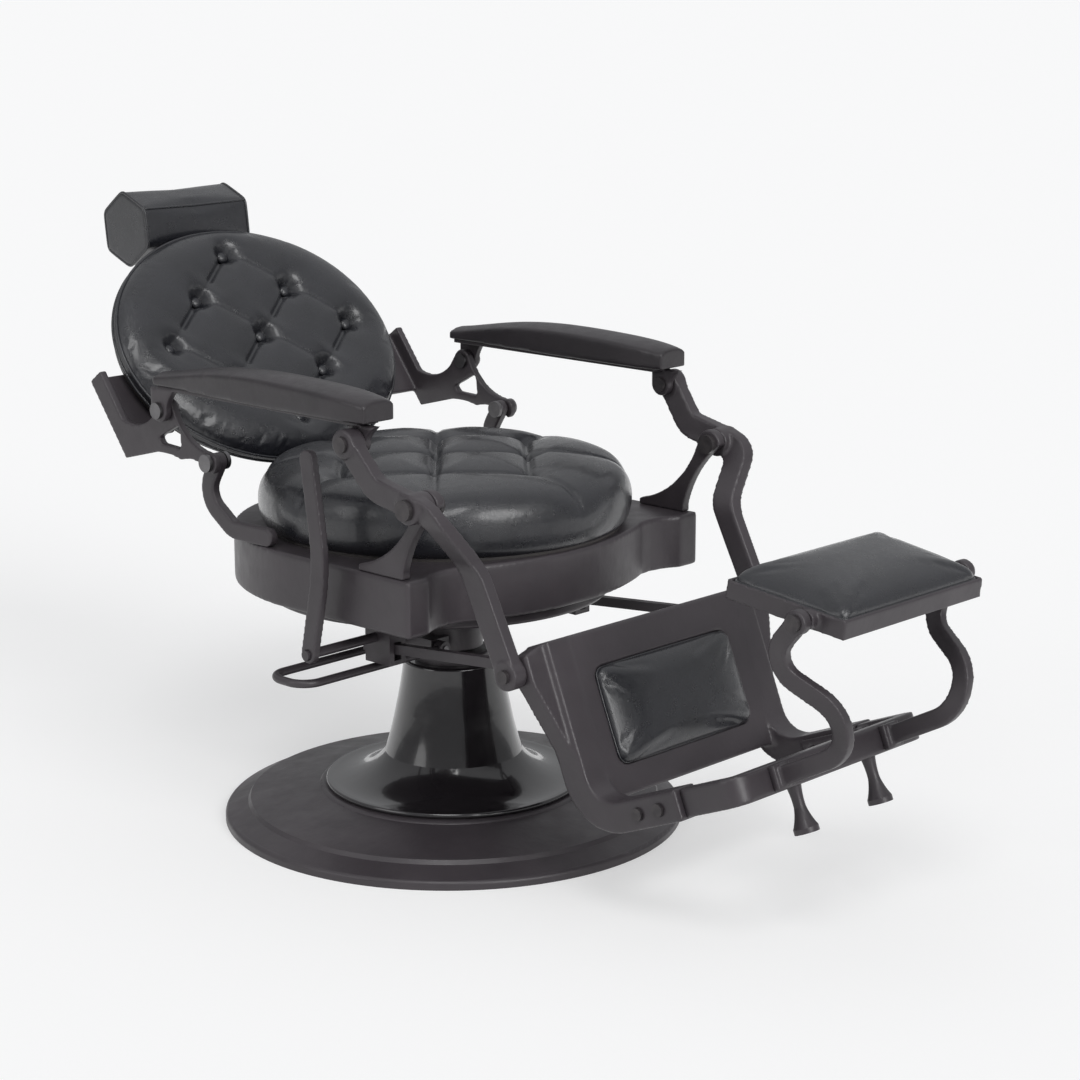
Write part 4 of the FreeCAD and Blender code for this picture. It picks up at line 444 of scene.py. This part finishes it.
FINISHES = {
    "satin_paint": satin_paint(),
    "gloss_paint": gloss_paint(),
    "leather": leather(),
    "arm_skin": arm_skin(),
    "plywood": plywood(),
    "steel": ground_steel(),
    "fastener": black_oxide(),
    "rubber": moulded_rubber(),
}


def dress(piece, slot, body):
    """Give a finished piece the material of a record slot, and the body that it moves with."""
    piece.data.materials.clear()
    piece.data.materials.append(FINISHES[slot])
    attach(piece, body)
    return piece


def add_welt(name, piece, line, radius, turn, body, closed=True):
    """A leather welt along a line on a cushion, both drawn in the frame that turn places."""
    welt = piping(name, piece, line, radius, closed)
    welt.data.transform(turn)
    return dress(welt, "leather", body)


# Castings and other solids that the chair's frame already has

SOFT_EDGE_VOXEL = {
    "side_lever_left": 0.0022, "side_lever_right": 0.0022, "legrest_frame": 0.0028, "foot_frame": 0.0026,
    "pad_bracket_left": 0.0022, "pad_bracket_right": 0.0022, "armrest_left": 0.003, "armrest_right": 0.003,
    "lever_bracket_left": 0.002, "lever_bracket_right": 0.002, "back_bracket_left": 0.0022,
    "back_bracket_right": 0.0022, "back_strap_left": 0.002, "back_strap_right": 0.002, "hand_lever": 0.002,
    "foot_tray": 0.002, "seat_ring": 0.0032, "arm_rail_left": 0.002, "arm_rail_right": 0.002}


def soften(node):
    """Round a casting's sharp edges the way its mould does."""
    step = node.modifiers.new("cast", "REMESH")
    step.mode = "VOXEL"
    step.voxel_size = SOFT_EDGE_VOXEL[node.name]
    step.use_smooth_shade = True
    smooth = node.modifiers.new("cast_edges", "SMOOTH")
    smooth.factor = 0.5
    smooth.iterations = 5


slots = {part["node"]: part["material_slot"] for part in frame["record"]["subparts"]}
for name, node in frame["nodes"].items():
    node.data.materials.clear()
    node.data.materials.append(FINISHES[slots[name]])
    if name in SOFT_EDGE_VOXEL:
        soften(node)


# Seat cushion

def seat_cushion():
    low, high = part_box("seat_cushion")
    middle = (low + high) / 2
    side_room, floor_room, swell_room = 0.004, 0.0005, 0.009
    radius = (high.x - low.x) / 2 - side_room
    bottom, top = low.z + floor_room, high.z - swell_room
    profile = [(0.90, 0.0), (0.955, 0.03), (0.985, 0.12), (1.0, 0.28), (1.0, 0.44), (0.99, 0.58),
               (0.967, 0.70), (0.93, 0.79), (0.88, 0.85), (0.80, 0.90), (0.65, 0.95), (0.45, 0.98),
               (0.25, 0.995), (0.05, 1.0)]
    rings = [[(middle.x + x, middle.y + y, bottom + (top - bottom) * rise)
              for x, y in ellipse(radius * share, radius * share)] for share, rise in profile]
    piece = remesh(skin("seat_cushion_leather", rings))
    step = 0.0964
    centre = Vector((0, 0.033))
    spots = [(0, 0), (1, 1), (1, -1), (-1, 1), (-1, -1), (2, 0), (-2, 0), (0, 2), (0, -2)]
    seam_reach, seam_strength = 0.35, 0.5
    buttons = [tuple(centre + Vector(s) * step) for s in spots]
    folds = [(buttons[i], buttons[j], 1.0) for i, j in diagonal_pairs(spots)]
    for spot in buttons[1:]:
        outwards = (Vector(spot) - centre).normalized()
        folds.append((spot, tuple(centre + outwards * seam_reach), seam_strength))
    tufts = Tufting(buttons, folds)
    points, out = coordinates(piece), normals(piece)
    pull, sewn = tufts.depths(points[:, :2], fold_depth=0.010, fold_width=0.005, button_depth=0.012,
                              button_width=0.016, swell=0.011, swell_width=0.034)
    plain_height, fade_height, sewn_height = 0.045, 0.035, 0.012
    upper = np.clip((points[:, 2] - bottom - plain_height) / fade_height, 0, 1)
    set_coordinates(piece, points - out * (pull * upper)[:, None])
    held = np.maximum(sewn * upper, points[:, 2] < bottom + sewn_height)
    inflate(piece, held, cap=0.005)
    subdivide(piece)
    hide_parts("seat_cushion")
    return dress(piece, "leather", "seat")


# Back cushion

def back_cushion():
    half_width, half_height, rise = 0.262, 0.203, 0.009
    rear, front = -0.0104, -0.0545
    profile = [(0.975, 0.0), (0.995, 0.04), (1.0, 0.12), (1.0, 0.34), (0.996, 0.42), (0.985, 0.56),
               (0.955, 0.72), (0.91, 0.84), (0.84, 0.92), (0.72, 0.97), (0.5, 0.99), (0.05, 1.0)]
    rings = [[(x, rear + (front - rear) * depth, z + rise)
              for x, z in ellipse(half_width * share, half_height * share)] for share, depth in profile]
    piece = remesh(skin("back_cushion_leather", rings), FINE_VOXEL)
    step, centre = Vector((0.090, 0.073)), Vector((0, 0.018))
    spots = [(0, 2), (-1, 1), (1, 1), (-2, 0), (0, 0), (2, 0), (-1, -1), (1, -1), (0, -2)]
    buttons = [(centre.x + i * step.x, centre.y + j * step.y) for i, j in spots]
    column_fold, cross_fold, crease_share = 0.34, 0.26, 0.62
    folds = []
    for i, j in diagonal_pairs(spots):
        in_column = spots[i][0] - spots[j][0] == spots[i][1] - spots[j][1]
        folds.append((buttons[i], buttons[j], column_fold if in_column else cross_fold))
        if in_column:
            upper, lower = sorted((buttons[i], buttons[j]), key=lambda b: -b[1])
            crease_end = tuple(Vector(upper) * (1 - crease_share) + Vector(lower) * crease_share)
            folds.append((upper, crease_end, 1.0))
    tufts = Tufting(buttons, folds)
    points, out = coordinates(piece), normals(piece)
    pull, sewn = tufts.depths(points[:, [0, 2]], fold_depth=0.009, fold_width=0.0045, button_depth=0.022,
                              button_width=0.015, swell=0.007, swell_width=0.026)
    plain_depth, fade_depth, sewn_depth = 0.012, 0.025, 0.006
    upper = np.clip((rear - plain_depth - points[:, 1]) / fade_depth, 0, 1)
    set_coordinates(piece, points - out * (pull * upper)[:, None])
    held = np.maximum(sewn * upper, points[:, 1] > rear - sewn_depth)
    inflate(piece, held, cap=0.006)
    subdivide(piece)
    rim = ellipse(half_width, half_height, 160)
    for name, depth in (("back_welt_front", 0.36), ("back_welt_rear", 0.04)):
        line = [(x, rear + (front - rear) * depth, z + rise) for x, z in rim]
        add_welt(name, piece, line, 0.0026, on_back, "back")
    piece.data.transform(on_back)
    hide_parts("back_cushion")
    dress(piece, "leather", "back")
    button_sink = 0.024
    for number, (x, z) in enumerate(buttons, 1):
        spot = on_back @ Vector((x, front + button_sink, z))
        button("back_button_%d" % number, spot, on_back, "back")


def button(name, spot, turn, body):
    """A leather-covered button with its face towards the frame's front."""
    radius, dome = 0.0105, 0.0065
    rings = []
    for share, rise in ((0.7, -0.8), (1.0, -0.3), (1.0, 0.1), (0.85, 0.55), (0.55, 0.88), (0.15, 1.0)):
        rings.append([(x, -rise * dome, z) for x, z in ellipse(radius * share, radius * share, 24)])
    piece = subdivide(skin(name, rings))
    piece.matrix_world = Matrix.Translation(spot) @ turn.to_3x3().to_4x4()
    return dress(piece, "leather", body)


# Headrest roll

def headrest_roll():
    along, behind = 0.264, 0.028
    half, length = 0.052, 0.207
    reach = half / math.cos(math.pi / 6)
    corner_turns = [math.pi / 3 * i for i in range(6)]
    hexagon = [(behind + reach * math.cos(t), along + reach * math.sin(t)) for t in corner_turns]
    outline = rounded(hexagon, 0.009)
    middle = Vector((behind, along))
    ends = [(-1.0, 0.95), (-0.992, 0.985), (-0.975, 1.0), (-0.5, 1.0), (0, 1.0), (0.5, 1.0), (0.975, 1.0),
            (0.992, 0.985), (1.0, 0.95)]
    rings = [[(length / 2 * place, *(middle + (p - middle) * share)) for p in outline]
             for place, share in ends]
    piece = skin("headrest_leather", rings)
    cutter = mesh_object("notch", *notch_box())
    hollow = piece.modifiers.new("notch", "BOOLEAN")
    hollow.object = cutter
    hollow.operation = "DIFFERENCE"
    apply_modifiers(piece)
    bpy.data.objects.remove(cutter)
    remesh(piece, voxel=0.003, relax=2)
    points = coordinates(piece)
    aside, depth, height = np.abs(points[:, 0]), points[:, 1], points[:, 2]
    notch_half, notch_front, notch_rise, end_strip, end_hold = 0.036, 0.006, 0.034, 0.006, 0.6
    in_notch = (aside < notch_half) & (depth > notch_front) & (height < along + notch_rise)
    at_end = np.abs(aside - length / 2) < end_strip
    inflate(piece, np.maximum(in_notch * 1.0, at_end * end_hold), cap=0.003)
    subdivide(piece)
    for name, place in (("headrest_welt_right", -0.985), ("headrest_welt_left", 0.985)):
        line = [(length / 2 * place, *p) for p in outline]
        add_welt(name, piece, line, 0.0022, on_back, "headrest")
    seam_share, seam_steps = 0.98, 40
    seam = [(length / 2 * (2 * i / seam_steps - 1) * seam_share, behind - reach, along)
            for i in range(seam_steps + 1)]
    add_welt("headrest_seam", piece, seam, 0.0018, on_back, "headrest", closed=False)
    piece.data.transform(on_back)
    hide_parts("headrest_cushion")
    return dress(piece, "leather", "headrest")


def notch_box():
    """The room in the rear of the roll for its yoke and post."""
    x, y, z = (-0.0235, 0.0235), (0.013, 0.16), (0.15, 0.289)
    points = [(a, b, c) for a in x for b in y for c in z]
    faces = [(0, 1, 3, 2), (4, 6, 7, 5), (0, 4, 5, 1), (2, 3, 7, 6), (0, 2, 6, 4), (1, 5, 7, 3)]
    return points, faces


# Calf pad and foot pad

def calf_pad():
    half, low, high = 0.1372, -0.1712, -0.0368
    rear, front = -0.0053, -0.027
    outline = rounded([(-half, low), (half, low), (half, high), (-half, high)], 0.018)
    middle = Vector((0, (low + high) / 2))
    profile = [(0.97, 0.0), (1.0, 0.1), (1.0, 0.35), (0.985, 0.55), (0.95, 0.72), (0.88, 0.84),
               (0.75, 0.93), (0.5, 0.98), (0.05, 1.0)]
    rings = []
    for share, depth in profile:
        ring = [middle + (p - middle) * share for p in outline]
        rings.append([(q.x, rear + (front - rear) * depth, q.y) for q in ring])
    piece = remesh(skin("calf_pad_leather", rings), FINE_VOXEL, relax=3)
    points = coordinates(piece)
    sewn_depth, welt_depth = 0.008, 0.005
    inflate(piece, (points[:, 1] > rear - sewn_depth) * 1.0, cap=0.004)
    subdivide(piece)
    line = [(p.x, rear - welt_depth, p.y) for p in outline]
    add_welt("calf_pad_welt", piece, line, 0.0018, on_legrest, "legrest")
    piece.data.transform(on_legrest)
    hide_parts("calf_pad")
    return dress(piece, "leather", "legrest")


def foot_cushion():
    front, rear = -0.0450, 0.1230
    front_half, rear_half = 0.1430, 0.1550
    bottom, top = -0.0095, 0.042
    corners = [(-front_half, front), (front_half, front), (rear_half, rear), (-rear_half, rear)]
    outline = rounded(corners, 0.012)
    middle = Vector((0, (front + rear) / 2))
    profile = [(0.985, 0.0), (1.0, 0.07), (1.0, 0.38), (0.99, 0.49), (0.96, 0.60), (0.91, 0.70),
               (0.82, 0.81), (0.66, 0.91), (0.45, 0.97), (0.2, 0.995), (0.05, 1.0)]
    rings = []
    for share, rise in profile:
        ring = [middle + (p - middle) * share for p in outline]
        rings.append([(q.x, q.y, bottom + (top - bottom) * rise) for q in ring])
    piece = remesh(skin("foot_pad_leather", rings), FINE_VOXEL, relax=3)
    points = coordinates(piece)
    sewn_height, welt_height = 0.020, 0.0195
    inflate(piece, (points[:, 2] < bottom + sewn_height) * 1.0, cap=0.005)
    subdivide(piece)
    line = [(p.x, p.y, bottom + welt_height) for p in outline]
    add_welt("foot_pad_welt", piece, line, 0.0022, on_foot_pad, "foot_pad")
    piece.data.transform(on_foot_pad)
    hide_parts("foot_cushion")
    return dress(piece, "leather", "foot_pad")


seat_cushion()
back_cushion()
headrest_roll()
calf_pad()
foot_cushion()


# Studio

def seen_rays(tree, gloss_share):
    """1 for what the camera sees, a share for what glossy surfaces show, 0 for light on the object."""
    rays = tree.nodes.new("ShaderNodeLightPath").outputs
    seen = tree.nodes.new("ShaderNodeMath")
    seen.operation = "MULTIPLY_ADD"
    tree.links.new(rays["Is Glossy Ray"], seen.inputs[0])
    seen.inputs[1].default_value = gloss_share
    tree.links.new(rays["Is Camera Ray"], seen.inputs[2])
    return seen.outputs["Value"]


def pale_floor():
    corners = [(-FLOOR_REACH, -FLOOR_REACH, 0), (FLOOR_REACH, -FLOOR_REACH, 0),
               (FLOOR_REACH, FLOOR_REACH, 0), (-FLOOR_REACH, FLOOR_REACH, 0)]
    floor = mesh_object("floor", corners, [(0, 1, 2, 3)])
    pale = Finish("pale_floor", FLOOR_SHADE, 0.9)
    pale.shader.inputs["Specular IOR Level"].default_value = 0.0
    lift = pale.add("ShaderNodeMath", operation="MULTIPLY")
    pale.join(seen_rays(pale.tree, 1.0), lift.inputs[0])
    lift.inputs[1].default_value = FLOOR_LIFT
    pale.shader.inputs["Emission Color"].default_value = (1, 1, 1, 1)
    pale.join(lift.outputs["Value"], pale.shader.inputs["Emission Strength"])
    floor.data.materials.append(pale.material)


def sky():
    """A dome that lights the chair more from above, with a pale backdrop where it is seen."""
    world = bpy.data.worlds.new("studio")
    world.use_nodes = True
    tree = world.node_tree
    background = tree.nodes["Background"].inputs
    background["Color"].default_value = SKY_TINT
    direction = tree.nodes.new("ShaderNodeTexCoord")
    split = tree.nodes.new("ShaderNodeSeparateXYZ")
    tree.links.new(direction.outputs["Generated"], split.inputs["Vector"])
    dome = tree.nodes.new("ShaderNodeMapRange")
    dome.inputs["From Min"].default_value = 0.0
    dome.inputs["From Max"].default_value = ZENITH_HEIGHT
    dome.inputs["To Min"].default_value = HORIZON_LIGHT
    dome.inputs["To Max"].default_value = ZENITH_LIGHT
    tree.links.new(split.outputs["Z"], dome.inputs["Value"])
    shown = tree.nodes.new("ShaderNodeMix")
    shown.inputs["B"].default_value = BACKDROP
    tree.links.new(seen_rays(tree, BACKDROP_IN_GLOSS), shown.inputs["Factor"])
    tree.links.new(dome.outputs["Result"], shown.inputs["A"])
    tree.links.new(shown.outputs["Result"], background["Strength"])
    scene.world = world


def lamp(name, spot, power, angle):
    """A broad soft lamp a long way off, from the side of a spot."""
    data = bpy.data.lights.new(name, "SUN")
    data.energy = power
    data.angle = math.radians(angle)
    made = bpy.data.objects.new(name, data)
    scene.collection.objects.link(made)
    made.location = spot
    made.rotation_euler = (LAMP_TARGET - Vector(spot)).to_track_quat("-Z", "Y").to_euler()


def camera():
    data = bpy.data.cameras.new("photo_camera")
    data.sensor_width = CAMERA_SENSOR
    data.lens = CAMERA_LENS
    data.clip_end = CAMERA_REACH
    made = bpy.data.objects.new("photo_camera", data)
    scene.collection.objects.link(made)
    made.location = CAMERA_SPOT
    level = math.cos(CAMERA_ELEVATION)
    forward = Vector((-math.sin(CAMERA_AZIMUTH) * level, math.cos(CAMERA_AZIMUTH) * level,
                      -math.sin(CAMERA_ELEVATION)))
    made.rotation_euler = forward.to_track_quat("-Z", "Y").to_euler()
    scene.camera = made


pale_floor()
sky()
lamp("key", (-2.2, -1.6, 4.2), 0.6, 20)
lamp("front", (-0.6, -3.0, 1.9), 1.35, 30)
lamp("side", (-3.0, 0.8, 1.7), 0.35, 30)
camera()
scene.view_settings.view_transform = "Standard"
